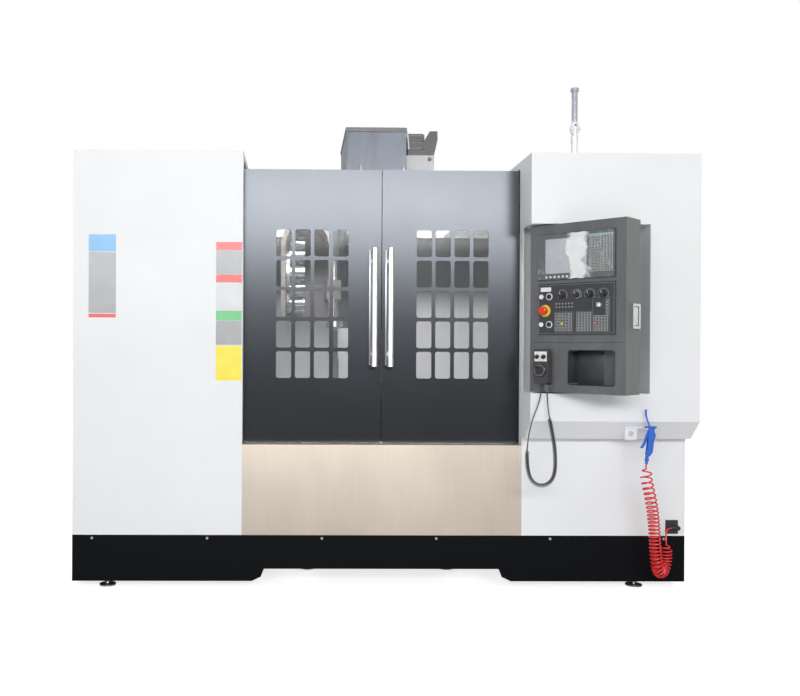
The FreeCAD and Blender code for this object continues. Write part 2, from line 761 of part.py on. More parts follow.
def gun_hook():
    """Bracket on the sloping ledge with a round hole and the two prongs that carry the air gun."""
    plate = box(1158.0, 1216.0, -112.0, -109.0, 744.0, 802.0)
    hole = rod(V(1187.0, -120.0, 773.0), Y_AXIS, 13.0, 20.0)
    bar = box(1158.0, 1278.0, -122.0, -114.0, PRONG_TOP - 6.0, PRONG_TOP)
    web = box(1158.0, 1216.0, -116.0, -109.0, 796.0, PRONG_TOP)
    prongs = [box(x, x + 6.0, GUN_Y - 14.0, -116.0, PRONG_TOP - 6.0, PRONG_TOP) for x in PRONG_X]
    return joined(cut(plate, hole), web, bar, *prongs)


def front_apron():
    """Brushed stainless panel below the doors, folded back as the sill, then down inside."""
    s = SHEET
    left = OPENING_LEFT_X
    right = OPENING_RIGHT_X
    front = box(left, right, 0, s, BASE_TOP, SILL_TOP)
    sill = box(left, right, 0, SILL_DEPTH, SILL_TOP - s, SILL_TOP)
    drip = box(left, right, SILL_DEPTH - s, SILL_DEPTH, SILL_TOP - 20.0, SILL_TOP)
    return joined(front, sill, drip)


def door_rails():
    """Upper rail that carries both doors and the lower bar that guides them."""
    end = HALF_BASE - SHEET
    top = DOOR_TOP - RAIL_DROP
    upper = box(-end, end, DOOR_BACK_Y + 1.0, DOOR_BACK_Y + 1.0 + RAIL_SECTION_Y, top - RAIL_SECTION_Z, top)
    groove = box(
        -end - 1,
        end + 1,
        DOOR_BACK_Y + 8.0,
        DOOR_BACK_Y + RAIL_SECTION_Y - 6.0,
        top - RAIL_SECTION_Z - 1,
        top - 8.0,
    )
    middle = DOOR_SETBACK + DOOR_THICKNESS / 2
    bar_half = GUIDE_BAR_WIDTH / 2
    lower = box(-end, end, middle - bar_half, middle + bar_half, SILL_TOP, SILL_TOP + GUIDE_BAR_HEIGHT)
    return many([cut(upper, groove), lower])


# ------------------------------------------------------------------ doors
def pane_places(centre_x):
    block_width = PANE_COLUMNS * PANE_WIDTH + (PANE_COLUMNS - 1) * PANE_GAP_X
    places = []
    for column in range(PANE_COLUMNS):
        for row in range(PANE_ROWS):
            x = centre_x - block_width / 2 + column * (PANE_WIDTH + PANE_GAP_X)
            z = PANE_TOP - PANE_HEIGHT - row * (PANE_HEIGHT + PANE_GAP_Z)
            places.append((x, z))
    return places


def door(side):
    """A folded sheet door, side -1 on the left and 1 on the right, with its grid of windows and hangers."""
    seam = OPENING_CENTRE_X + side * DOOR_SEAM / 2
    outer_edge = OPENING_CENTRE_X + side * (OPENING_WIDTH / 2 + DOOR_LAP)
    x0, x1 = sorted((seam, outer_edge))
    s = SHEET
    shell = box(x0, x1, DOOR_SETBACK, DOOR_BACK_Y, DOOR_BOTTOM, DOOR_TOP)
    hollow = box(x0 + s, x1 - s, DOOR_SETBACK + s, DOOR_BACK_Y + 1, DOOR_BOTTOM + s, DOOR_TOP - s)
    middle = DOOR_SETBACK + DOOR_THICKNESS / 2
    guide_half = GUIDE_BAR_WIDTH / 2 + 1.0
    guide_top = SILL_TOP + GUIDE_BAR_HEIGHT + 1
    guide_slot = box(x0 - 1, x1 + 1, middle - guide_half, middle + guide_half, DOOR_BOTTOM - 1, guide_top)
    offset = LEFT_PANES_OFFSET if side < 0 else RIGHT_PANES_OFFSET
    openings = [
        round_bar_y(
            x, x + PANE_WIDTH, DOOR_SETBACK - 1, DOOR_SETBACK + s + 1, z, z + PANE_HEIGHT, PANE_CORNER
        )
        for x, z in pane_places(OPENING_CENTRE_X + side * offset)
    ]
    rail_top = DOOR_TOP - RAIL_DROP
    centre = (x0 + x1) / 2
    hangers = [
        box(
            centre + h * HANGER_SPACING / 2 - HANGER_LENGTH / 2,
            centre + h * HANGER_SPACING / 2 + HANGER_LENGTH / 2,
            DOOR_SETBACK + s,
            DOOR_BACK_Y + RAIL_SECTION_Y,
            rail_top + RAIL_GAP,
            DOOR_TOP - s,
        )
        for h in (-1, 1)
    ]
    return joined(cut(shell, hollow, guide_slot, *openings), *hangers)


def door_glass(side):
    """One clear sheet behind all the windows of a door."""
    offset = LEFT_PANES_OFFSET if side < 0 else RIGHT_PANES_OFFSET
    centre = OPENING_CENTRE_X + side * offset
    half = (PANE_COLUMNS * PANE_WIDTH + (PANE_COLUMNS - 1) * PANE_GAP_X) / 2 + GLASS_LAP
    tall = PANE_ROWS * PANE_HEIGHT + (PANE_ROWS - 1) * PANE_GAP_Z
    front = DOOR_SETBACK + SHEET
    return box(
        centre - half,
        centre + half,
        front,
        front + GLASS_THICKNESS,
        PANE_TOP - tall - GLASS_LAP,
        PANE_TOP + GLASS_LAP,
    )


def door_handle(side):
    """A tall tube on two posts."""
    x = OPENING_CENTRE_X + side * HANDLE_OFFSET
    y = DOOR_SETBACK - HANDLE_STANDOFF
    tube = rod(V(x, y, HANDLE_BOTTOM), Z_AXIS, HANDLE_RADIUS, HANDLE_LENGTH)
    posts = [
        rod(V(x, y, z), Y_AXIS, HANDLE_POST_RADIUS, HANDLE_STANDOFF)
        for z in (HANDLE_BOTTOM + HANDLE_POST_INSET, HANDLE_BOTTOM + HANDLE_LENGTH - HANDLE_POST_INSET)
    ]
    return joined(tube, *posts)


# ------------------------------------------------------------------ castings and ways
def bed():
    """Cast bed, wider under the column, with the two Y ways on machined seats."""
    x = SPINDLE_X
    front = box(x - BED_HALF_WIDTH, x + BED_HALF_WIDTH, BED_FRONT_Y, COLUMN_FRONT_Y, BED_BOTTOM, BED_TOP)
    rear = box(
        x - COLUMN_FOOT_HALF, x + COLUMN_FOOT_HALF, COLUMN_FRONT_Y - 4.0, COLUMN_REAR_Y, BED_BOTTOM, BED_TOP
    )
    seats = []
    rails = []
    seat_half = RAIL_WIDTH / 2 + 18.0
    for s in (-1, 1):
        rail_x = x + s * Y_RAIL_SPAN / 2
        seats.append(
            box(rail_x - seat_half, rail_x + seat_half, BED_FRONT_Y, COLUMN_FRONT_Y, BED_TOP, BED_RAIL_BASE)
        )
        rails.append(rail_y(rail_x, BED_FRONT_Y + 10.0, COLUMN_FRONT_Y - 30.0, BED_RAIL_BASE))
    bearing = [
        box(x - 70.0, x + 70.0, y, y + 60.0, BED_TOP, SCREW_Y_Z + SCREW_RADIUS + 16.0)
        for y in (BED_FRONT_Y, COLUMN_FRONT_Y - 60.0)
    ]
    trough = box(x - 120.0, x + 120.0, BED_FRONT_Y + 90.0, COLUMN_FRONT_Y - 90.0, BED_TOP - 60.0, BED_TOP + 1)
    side_pockets = [
        box(
            x + s * (BED_HALF_WIDTH - 40.0) - 41.0,
            x + s * (BED_HALF_WIDTH - 40.0) + 41.0,
            y,
            y + 230.0,
            BED_BOTTOM + 80.0,
            BED_TOP - 90.0,
        )
        for s in (-1, 1)
        for y in (BED_FRONT_Y + 60.0, BED_FRONT_Y + 350.0, BED_FRONT_Y + 640.0)
    ]
    bore = rod(V(x, BED_FRONT_Y - 1, SCREW_Y_Z), Y_AXIS, SCREW_RADIUS + RUNNING_FIT, COLUMN_FRONT_Y)
    body = joined(front, rear, *seats, *bearing)
    return joined(cut(body, trough, bore, *side_pockets), *rails)


def rail_outline(centre, base, up):
    """Section of a guide rail with its waisted flanks, as side, height pairs."""
    half = RAIL_WIDTH / 2
    waist = half - 5.0
    return [
        (centre - half, base),
        (centre + half, base),
        (centre + half, base + up * RAIL_HEIGHT * 0.35),
        (centre + waist, base + up * RAIL_HEIGHT * 0.6),
        (centre + half, base + up * RAIL_HEIGHT),
        (centre - half, base + up * RAIL_HEIGHT),
        (centre - waist, base + up * RAIL_HEIGHT * 0.6),
        (centre - half, base + up * RAIL_HEIGHT * 0.35),
    ]


def rail_y(x, y0, y1, base):
    return prism_y(rail_outline(x, base, 1), y0, y1)


def rail_x(y, x0, x1, base):
    return prism_x(rail_outline(y, base, 1), x0, x1)


def rail_z(x, z0, z1, base_y):
    outline = [(side, height) for side, height in rail_outline(x, base_y, -1)]
    return prism_z(outline, z0, z1)


def column():
    """Cast column on two spread feet with an arch between them, ribs behind and the Z ways in front."""
    x = SPINDLE_X
    front_outline = [
        (x - COLUMN_FOOT_HALF, BED_TOP),
        (x - ARCH_HALF_WIDTH, BED_TOP),
        (x - ARCH_HALF_WIDTH, ARCH_TOP - 90.0),
        (x - ARCH_HALF_WIDTH + 90.0, ARCH_TOP),
        (x + ARCH_HALF_WIDTH - 90.0, ARCH_TOP),
        (x + ARCH_HALF_WIDTH, ARCH_TOP - 90.0),
        (x + ARCH_HALF_WIDTH, BED_TOP),
        (x + COLUMN_FOOT_HALF, BED_TOP),
        (x + COLUMN_FOOT_HALF, BED_TOP + 180.0),
        (x + COLUMN_HALF_WIDTH, BED_TOP + 620.0),
        (x + COLUMN_HALF_WIDTH, COLUMN_TOP),
        (x - COLUMN_HALF_WIDTH, COLUMN_TOP),
        (x - COLUMN_HALF_WIDTH, BED_TOP + 620.0),
        (x - COLUMN_FOOT_HALF, BED_TOP + 180.0),
    ]
    body = prism_y(front_outline, COLUMN_FRONT_Y, COLUMN_REAR_Y)
    back_slope = prism_x(
        [
            (COLUMN_REAR_Y - 170.0, COLUMN_TOP + 1),
            (COLUMN_REAR_Y + 1, BED_TOP + 700.0),
            (COLUMN_REAR_Y + 1, COLUMN_TOP + 1),
        ],
        x - COLUMN_FOOT_HALF,
        x + COLUMN_FOOT_HALF,
    )
    front_pocket = box(
        x - Z_RAIL_SPAN / 2 + 42.0,
        x + Z_RAIL_SPAN / 2 - 42.0,
        COLUMN_FRONT_Y - 1,
        COLUMN_FRONT_Y + 70.0,
        ARCH_TOP + 160.0,
        COLUMN_TOP - 160.0,
    )
    rib_gap = 150.0
    rear_pockets = [
        box(
            x - COLUMN_HALF_WIDTH + 50.0,
            x + COLUMN_HALF_WIDTH - 50.0,
            COLUMN_REAR_Y - 240.0,
            COLUMN_REAR_Y + 1,
            z,
            z + rib_gap,
        )
        for z in (BED_TOP + 300.0, BED_TOP + 500.0, BED_TOP + 700.0, BED_TOP + 900.0, BED_TOP + 1100.0)
    ]
    rails = [
        rail_z(x + s * Z_RAIL_SPAN / 2, ARCH_TOP + 90.0, COLUMN_TOP - 40.0, COLUMN_FRONT_Y) for s in (-1, 1)
    ]
    bearings = [
        box(x - 48.0, x + 48.0, SCREW_Z_Y - 34.0, COLUMN_FRONT_Y, z, z + 60.0)
        for z in (ARCH_TOP + 60.0, COLUMN_TOP - 60.0)
    ]
    bore = rod(V(x, SCREW_Z_Y, ARCH_TOP), Z_AXIS, SCREW_RADIUS + RUNNING_FIT, COLUMN_TOP)
    cast = cut(body, back_slope, front_pocket, *rear_pockets)
    return joined(cut(joined(cast, *bearings), bore), *rails)


def ball_screw(start, axis, length):
    """A plain shaft with a collar against each bearing's outer face and a shaft end for its motor."""
    collar_radius = SCREW_RADIUS + 8.0
    collar = 8.0
    shaft = rod(start, axis, SCREW_RADIUS, length)
    first = rod(start.sub(V(axis).multiply(collar)), axis, collar_radius, collar)
    last = rod(start.add(V(axis).multiply(length)), axis, collar_radius, collar)
    return joined(shaft, first, last)


def cut_square(half, flat):
    """Corners of a square with its corners cut off, from half its width and half its flat."""
    return [
        (-half, -flat),
        (-flat, -half),
        (flat, -half),
        (half, -flat),
        (half, flat),
        (flat, half),
        (-flat, half),
        (-half, flat),
    ]


def axis_motor(face, axis, up):
    """A servo motor: square flange, body with its corners cut and a round rear cover."""
    half = MOTOR_SIZE / 2
    side = axis.cross(up)

    def slab(near, far, size, chamfer):
        c = size - chamfer
        near_face = face.add(V(axis).multiply(near))
        outline = [
            near_face.add(V(side).multiply(a)).add(V(up).multiply(b)) for a, b in cut_square(size, c)
        ]
        return face_of(outline).extrude(V(axis).multiply(far - near))

    body_end = MOTOR_LENGTH - MOTOR_REAR_COVER
    flange = slab(0, MOTOR_FLANGE, half, 14.0)
    body = slab(MOTOR_FLANGE, body_end, half - 6.0, 22.0)
    cover = rod(face.add(V(axis).multiply(body_end)), axis, half - 14.0, MOTOR_REAR_COVER)
    plug = slab(MOTOR_LENGTH - 34.0, MOTOR_LENGTH - 8.0, half - 24.0, 6.0)
    plug.translate(V(up).multiply(22.0))
    return joined(flange, body, cover, plug)


def y_ball_screw():
    return ball_screw(V(SPINDLE_X, BED_FRONT_Y - 1.0, SCREW_Y_Z), Y_AXIS, COLUMN_FRONT_Y - BED_FRONT_Y + 2.0)


def axis_motors():
    """The Y motor in front of the bed and the Z motor on top of the column."""
    y_motor = axis_motor(V(SPINDLE_X, BED_FRONT_Y - Y_MOTOR_GAP, SCREW_Y_Z), V(0, -1, 0), Z_AXIS)
    z_mount = box(
        SPINDLE_X - Z_MOUNT_HALF,
        SPINDLE_X + Z_MOUNT_HALF,
        SCREW_Z_Y - Z_MOUNT_HALF,
        COLUMN_FRONT_Y + Z_MOUNT_LAP,
        COLUMN_TOP,
        COLUMN_TOP + Z_MOUNT_HEIGHT,
    )
    z_space = rod(V(SPINDLE_X, SCREW_Z_Y, COLUMN_TOP - 1), Z_AXIS, SCREW_RADIUS + 9.0, 12.0)
    z_motor = axis_motor(V(SPINDLE_X, SCREW_Z_Y, COLUMN_TOP + Z_MOUNT_HEIGHT), Z_AXIS, V(0, 1, 0))
    bed_bracket = box(
        SPINDLE_X - BED_BRACKET_HALF,
        SPINDLE_X + BED_BRACKET_HALF,
        BED_FRONT_Y - Y_MOTOR_GAP - MOTOR_FLANGE,
        BED_FRONT_Y,
        BED_TOP - BED_BRACKET_DROP,
        SCREW_Y_Z - MOTOR_SIZE / 2 + 4.0,
    )
    return many([joined(y_motor, bed_bracket), joined(cut(z_mount, z_space), z_motor)])


def block(centre, along, across, up, channel):
    """A rail block: a body with a channel that clears the rail. Axes are unit vectors."""
    half_l = BLOCK_LENGTH / 2
    half_w = BLOCK_WIDTH / 2
    deep = channel
    groove_half = RAIL_WIDTH / 2 + RAIL_GAP
    outline = [
        (-half_w, 0),
        (half_w, 0),
        (half_w, -deep),
        (groove_half, -deep),
        (groove_half, -BLOCK_CAP + RAIL_GAP),
        (-groove_half, -BLOCK_CAP + RAIL_GAP),
        (-groove_half, -deep),
        (-half_w, -deep),
    ]
    start = centre.sub(V(along).multiply(half_l))
    points = [start.add(V(across).multiply(a)).add(V(up).multiply(b)) for a, b in outline]
    return face_of(points).extrude(V(along).multiply(BLOCK_LENGTH))


def saddle():
    """Cast saddle with long wings under the table, on four blocks, carrying the X ways, its way covers,
    the X screw's bearings and the X motor's bracket."""
    x = SPINDLE_X
    y = SPINDLE_Y
    wing_outline = [
        (x - SADDLE_BODY_HALF, SADDLE_BOTTOM),
        (x + SADDLE_BODY_HALF, SADDLE_BOTTOM),
        (x + SADDLE_HALF_WIDTH, SADDLE_TOP - SADDLE_WING_DEPTH),
        (x + SADDLE_HALF_WIDTH, SADDLE_TOP),
        (x - SADDLE_HALF_WIDTH, SADDLE_TOP),
        (x - SADDLE_HALF_WIDTH, SADDLE_TOP - SADDLE_WING_DEPTH),
    ]
    casting = prism_y(wing_outline, SADDLE_FRONT_Y, SADDLE_BACK_Y)
    channel_half = SADDLE_HALF_WIDTH - 90.0
    middle_channel = box(
        x - channel_half, x + channel_half, y - 80.0, y + 80.0, SADDLE_TOP - 40.0, SADDLE_TOP + 1
    )
    under_channel = box(
        x - 70.0, x + 70.0, SADDLE_FRONT_Y - 1, SADDLE_BACK_Y + 1, SADDLE_BOTTOM - 1, SADDLE_BOTTOM + 26.0
    )
    rails = [
        rail_x(y + s * X_RAIL_SPAN / 2, x - SADDLE_HALF_WIDTH + 5.0, x + SADDLE_HALF_WIDTH - 5.0, SADDLE_TOP)
        for s in (-1, 1)
    ]
    blocks = [
        block(
            V(x + s * Y_RAIL_SPAN / 2, y + t * BLOCK_SPACING_Y / 2, SADDLE_BOTTOM),
            Y_AXIS,
            X_AXIS,
            Z_AXIS,
            BLOCK_DEEP,
        )
        for s in (-1, 1)
        for t in (-1, 1)
    ]
    nut = box(x - 45.0, x + 45.0, y - 60.0, y + 60.0, SCREW_Y_Z - 30.0, SADDLE_BOTTOM + 40.0)
    nut_bore = rod(V(x, y - 100.0, SCREW_Y_Z), Y_AXIS, SCREW_RADIUS + RUNNING_FIT, 200.0)
    bearings = [
        box(
            x + s * (SADDLE_HALF_WIDTH - 45.0) - 30.0,
            x + s * (SADDLE_HALF_WIDTH - 45.0) + 30.0,
            y - 50.0,
            y + 50.0,
            SADDLE_TOP - 40.0,
            SADDLE_TOP + 66.0,
        )
        for s in (-1, 1)
    ]
    bore_start = V(x - SADDLE_HALF_WIDTH - 1, y, SCREW_X_Z)
    screw_bore = rod(bore_start, X_AXIS, SCREW_RADIUS + RUNNING_FIT, 2 * SADDLE_HALF_WIDTH + 2)
    body = joined(cut(casting, middle_channel, under_channel), *rails, *blocks, nut, *bearings)
    body = cut(body, nut_bore, screw_bore)
    wing_end = x + SADDLE_HALF_WIDTH
    motor_face = wing_end + 14.0
    motor = axis_motor(V(motor_face, y, SCREW_X_Z), X_AXIS, Z_AXIS)
    shelf = box(
        wing_end,
        motor_face + MOTOR_FLANGE,
        y - 65.0,
        y + 65.0,
        SADDLE_TOP - SADDLE_WING_DEPTH,
        SADDLE_TOP - 26.0,
    )
    front = front_cover_plate(3)
    rear = rear_cover_plate(3)
    return joined(body, shelf, motor, front, rear)


def x_ball_screw():
    start = V(SPINDLE_X - SADDLE_HALF_WIDTH + 14.0, SPINDLE_Y, SCREW_X_Z)
    length = 2 * SADDLE_HALF_WIDTH - 28.0
    return rod(start, X_AXIS, SCREW_RADIUS, length)


def table():
    """Work table with its T-slots, drip edge, four blocks and the nut on the X screw."""
    x = SPINDLE_X
    y = SPINDLE_Y
    half_l = TABLE_LENGTH / 2
    half_w = TABLE_WIDTH / 2
    top = box(x - half_l, x + half_l, y - half_w, y + half_w, TABLE_BOTTOM, TABLE_TOP)
    slots = []
    for i in range(TEE_SLOT_COUNT):
        slot_y = y + (i - (TEE_SLOT_COUNT - 1) / 2) * TEE_SLOT_PITCH
        neck = TEE_SLOT_WIDTH / 2
        head = TEE_HEAD_WIDTH / 2
        low = TABLE_TOP - TEE_SLOT_DEPTH
        outline = [
            (slot_y - neck, TABLE_TOP + 1),
            (slot_y + neck, TABLE_TOP + 1),
            (slot_y + neck, low),
            (slot_y + head, low),
            (slot_y + head, low - TEE_HEAD_HEIGHT),
            (slot_y - head, low - TEE_HEAD_HEIGHT),
            (slot_y - head, low),
            (slot_y - neck, low),
        ]
        slots.append(prism_x(outline, x - half_l - 1, x + half_l + 1))
    under = [
        box(
            x + s * half_l / 2 - TABLE_POCKET_HALF_X,
            x + s * half_l / 2 + TABLE_POCKET_HALF_X,
            y + t * TABLE_POCKET_OFFSET_Y - TABLE_POCKET_HALF_Y,
            y + t * TABLE_POCKET_OFFSET_Y + TABLE_POCKET_HALF_Y,
            TABLE_BOTTOM - 1,
            TABLE_BOTTOM + TABLE_POCKET_RISE,
        )
        for s in (-1, 1)
        for t in (-1, 1)
    ]
    block_top = SADDLE_TOP + RAIL_HEIGHT + BLOCK_CAP
    spacers = []
    for s in (-1, 1):
        for t in (-1, 1):
            bx = x + s * BLOCK_SPACING_X / 2
            by = y + t * X_RAIL_SPAN / 2
            spacers.append(block(V(bx, by, block_top), X_AXIS, Y_AXIS, Z_AXIS, BLOCK_DEEP))
            spacers.append(
                box(
                    bx - BLOCK_LENGTH / 2,
                    bx + BLOCK_LENGTH / 2,
                    by - BLOCK_WIDTH / 2,
                    by + BLOCK_WIDTH / 2,
                    block_top,
                    TABLE_BOTTOM,
                )
            )
    nut = box(x - 60.0, x + 60.0, y - 42.0, y + 42.0, SCREW_X_Z - 36.0, TABLE_BOTTOM)
    nut_bore = rod(V(x - 70.0, y, SCREW_X_Z), X_AXIS, SCREW_RADIUS + RUNNING_FIT, 140.0)
    return joined(cut(top, *slots, *under), *spacers, cut(nut, nut_bore))


# ------------------------------------------------------------------ way covers
def folded_plate(level):
    """One cover plate in its own frame: it lies along Y from 0, folded down at both sides, and its lip
    at Y = 0 side reaches the plate nested under it. Higher levels are wider and taller."""
    half = COVER_HALF_WIDTH + level * COVER_STEP
    top = COVER_TOP + level * COVER_STEP
    s = COVER_SHEET
    outer = box(-half, half, 0, COVER_LENGTH, COVER_TOP - COVER_SKIRT, top)
    inner = box(-half + s, half - s, -1, COVER_LENGTH + 1, COVER_TOP - COVER_SKIRT - 1, top - s)
    shell = cut(outer, inner)
    if level == 0:
        return shell
    under_half = half - COVER_STEP + SLIP_GAP
    under_top = top - COVER_STEP + SLIP_GAP
    lip = cut(
        box(-half + s, half - s, 0, COVER_LIP, COVER_TOP - COVER_SKIRT, top - s),
        box(-under_half, under_half, -1, COVER_LIP + 1, COVER_TOP - COVER_SKIRT - 1, under_top),
    )
    return joined(shell, lip)


def cover_step(span):
    """How far each plate of a set of four starts from the one before it, at rest."""
    return (span - COVER_LENGTH) / 3


def front_cover_plate(level):
    plate = folded_plate(level)
    step = cover_step(SADDLE_FRONT_Y - FRONT_COVER_Y)
    plate.translate(V(SPINDLE_X, FRONT_COVER_Y + level * step, 0))
    return plate


def rear_cover_plate(level):
    plate = folded_plate(level)
    plate.rotate(V(0, 0, 0), Z_AXIS, 180)
    step = cover_step(REAR_COVER_END_Y - SADDLE_BACK_Y)
    plate.translate(V(SPINDLE_X, REAR_COVER_END_Y - level * step, 0))
    return plate


def z_cover_plate(level):
    """The same plate, narrower, standing against the column and facing the work."""
    half = Z_COVER_HALF + level * COVER_STEP
    front = Z_COVER_FRONT_Y - level * COVER_STEP
    back = Z_COVER_FRONT_Y + COVER_SKIRT - 12.0
    step = cover_step(HEAD_BACK_BOTTOM - Z_COVER_BOTTOM)
    z0 = Z_COVER_BOTTOM + level * step
    s = COVER_SHEET
    x = SPINDLE_X
    outer = box(x - half, x + half, front, back, z0, z0 + COVER_LENGTH)
    inner = box(x - half + s, x + half - s, front + s, back + 1, z0 - 1, z0 + COVER_LENGTH + 1)
    shell = cut(outer, inner)
    if level == 0:
        return shell
    under_half = half - COVER_STEP + SLIP_GAP
    under_front = front + COVER_STEP - SLIP_GAP
    lip = cut(
        box(x - half + s, x + half - s, front + s, back, z0, z0 + COVER_LIP),
        box(x - under_half, x + under_half, under_front, back + 1, z0 - 1, z0 + COVER_LIP + 1),
    )
    return joined(shell, lip)


def y_cover_inner():
    return many([front_cover_plate(1), rear_cover_plate(1)])


def y_cover_middle():
    return many([front_cover_plate(2), rear_cover_plate(2)])


# ------------------------------------------------------------------ inner guards
def side_guard(side):
    """Panels at one side of the working space: its wall, the chip slope below it and the wing behind it."""
    s = SHEET
    wall_x = INNER_LEFT_X if side < 0 else INNER_RIGHT_X
    x0, x1 = sorted((wall_x, wall_x + side * s))
    trough_x = SPINDLE_X + side * (BED_HALF_WIDTH + GUARD_CLEARANCE)
    wall_front = DOOR_BACK_Y + RAIL_SECTION_Y + GUARD_CLEARANCE
    slope_front = RETURN_END_Y + GUARD_SLOPE_GAP
    slope = prism_y(
        [(wall_x + side * s, SILL_TOP), (wall_x, SILL_TOP), (trough_x, TROUGH_Z + s), (trough_x, TROUGH_Z)],
        slope_front,
        BACK_GUARD_Y,
    )
    wall = box(x0, x1, wall_front, GUARD_DEPTH - 2 * s, SILL_TOP, BACK_GUARD_TOP)
    wing_x = sorted((wall_x, side * (HALF_BASE - s)))
    wing = box(wing_x[0], wing_x[1], GUARD_DEPTH - 2 * s, GUARD_DEPTH - s, SILL_TOP, BACK_GUARD_TOP)
    return [wall, slope, wing]


def back_guard(side):
    """Panels behind the working space at one side of the head's slot, clear of the magazine's beam."""
    s = SHEET
    wall_x = INNER_LEFT_X if side < 0 else INNER_RIGHT_X
    arch_x = SPINDLE_X + side * (BED_HALF_WIDTH + GUARD_CLEARANCE)
    slot_x = SPINDLE_X + side * BACK_SLOT_HALF_WIDTH
    beam_x = GEARBOX_LEFT_X - GUARD_CLEARANCE if side < 0 else slot_x
    beam_bottom = GEARBOX_TOP - BEAM_HEIGHT - GUARD_CLEARANCE
    beam_top = GEARBOX_TOP + GUARD_CLEARANCE
    arch_top = ARCH_TOP - BACK_ARCH_DROP

    def panel(x, bottom, top):
        low, high = sorted((wall_x, x))
        return box(low, high, BACK_GUARD_Y, BACK_GUARD_Y + s, bottom, top)

    panels = [panel(arch_x, TROUGH_Z, arch_top), panel(slot_x, arch_top, beam_bottom)]
    panels += [panel(beam_x, beam_bottom, beam_top), panel(slot_x, beam_top, BACK_GUARD_TOP)]
    return panels


def inner_guards():
    """Sheet-metal panels of the working space: two sides with chip slopes, the back with the head's slot,
    and the fixed plate of each way cover."""
    s = SHEET
    front_sheet = box(
        OPENING_LEFT_X + 5.0, OPENING_RIGHT_X - 5.0, FRONT_COVER_Y - s, FRONT_COVER_Y, TROUGH_Z, SILL_TOP - s
    )
    rear_legs = [
        box(
            SPINDLE_X + t * (COVER_HALF_WIDTH - COVER_SHEET - COVER_LEG) - COVER_LEG,
            SPINDLE_X + t * (COVER_HALF_WIDTH - COVER_SHEET - COVER_LEG) + COVER_LEG,
            REAR_COVER_END_Y - 40.0,
            REAR_COVER_END_Y,
            BED_TOP,
            COVER_TOP - COVER_SHEET,
        )
        for t in (-1, 1)
    ]
    column_flanges = [
        box(
            SPINDLE_X + t * (Z_COVER_HALF - COVER_SHEET / 2) - COVER_SHEET / 2,
            SPINDLE_X + t * (Z_COVER_HALF - COVER_SHEET / 2) + COVER_SHEET / 2,
            Z_COVER_FRONT_Y + COVER_SHEET,
            COLUMN_FRONT_Y,
            ARCH_TOP + 5.0,
            Z_COVER_BOTTOM + COVER_LENGTH,
        )
        for t in (-1, 1)
    ]
    return many(
        [
            *side_guard(-1),
            *side_guard(1),
            *back_guard(-1),
            *back_guard(1),
            joined(front_sheet, front_cover_plate(0)),
            joined(rear_cover_plate(0), *rear_legs),
            joined(z_cover_plate(0), *column_flanges),
        ]
    )


# ------------------------------------------------------------------ head and spindle
def headstock():
    """Cast head: a box over the spindle, cut back under the slide, with its blocks, nut and way cover."""
    x = SPINDLE_X
    outline = [
        (HEAD_FRONT_Y, NOSE_Z + 130.0),
        (HEAD_FRONT_Y, HEAD_TOP),
        (HEAD_BACK_Y, HEAD_TOP),
        (HEAD_BACK_Y, HEAD_BACK_BOTTOM),
        (HEAD_BACK_Y - 120.0, HEAD_BACK_BOTTOM),
        (HEAD_BACK_Y - 340.0, NOSE_Z + 60.0),
        (SPINDLE_Y + 110.0, NOSE_Z + 60.0),
        (SPINDLE_Y + 110.0, NOSE_Z + 130.0),
    ]
    body = prism_x(outline, HEAD_LEFT_X, HEAD_RIGHT_X)
    lip = NOSE_Z + SPINDLE_FLANGE_HEIGHT + SLIP_GAP
    nose = revolved(
        [
            (0, 0),
            (NOSE_RADIUS - 8.0, 0),
            (NOSE_RADIUS, 8.0),
            (NOSE_RADIUS, 70.0),
            (NOSE_RADIUS + 22.0, 70.0),
            (NOSE_RADIUS + 22.0, HEAD_TOP - lip),
            (0, HEAD_TOP - lip),
        ],
        V(x, SPINDLE_Y, lip),
    )
    bore = rod(V(x, SPINDLE_Y, NOSE_Z), Z_AXIS, SPINDLE_RADIUS + RUNNING_FIT, HEAD_TOP - NOSE_Z + 1)
    low_block = HEAD_BACK_BOTTOM + HEAD_BLOCK_RISE + BLOCK_LENGTH / 2
    blocks = [
        block(
            V(x + s * Z_RAIL_SPAN / 2, HEAD_BACK_Y, low_block + (t + 1) * BLOCK_SPACING_Z / 2),
            Z_AXIS,
            X_AXIS,
            V(0, -1, 0),
            BLOCK_DEEP,
        )
        for s in (-1, 1)
        for t in (-1, 1)
    ]
    nut_bottom = HEAD_BACK_BOTTOM + 220.0
    nut = box(x - 40.0, x + 40.0, SCREW_Z_Y - 50.0, SCREW_Z_Y + 28.0, nut_bottom, nut_bottom + 120.0)
    nut_bore = rod(V(x, SCREW_Z_Y, HEAD_BACK_BOTTOM), Z_AXIS, SCREW_RADIUS + RUNNING_FIT, HEAD_TOP)
    channel_y = SCREW_Z_Y - SCREW_RADIUS - 20.0
    screw_channel = box(x - 52.0, x + 52.0, channel_y, HEAD_BACK_Y + 1, HEAD_BACK_BOTTOM - 1, HEAD_TOP + 1)
    body = joined(cut(joined(body, nose), bore, screw_channel), *blocks, nut)
    return joined(cut(body, nut_bore), z_cover_plate(3))


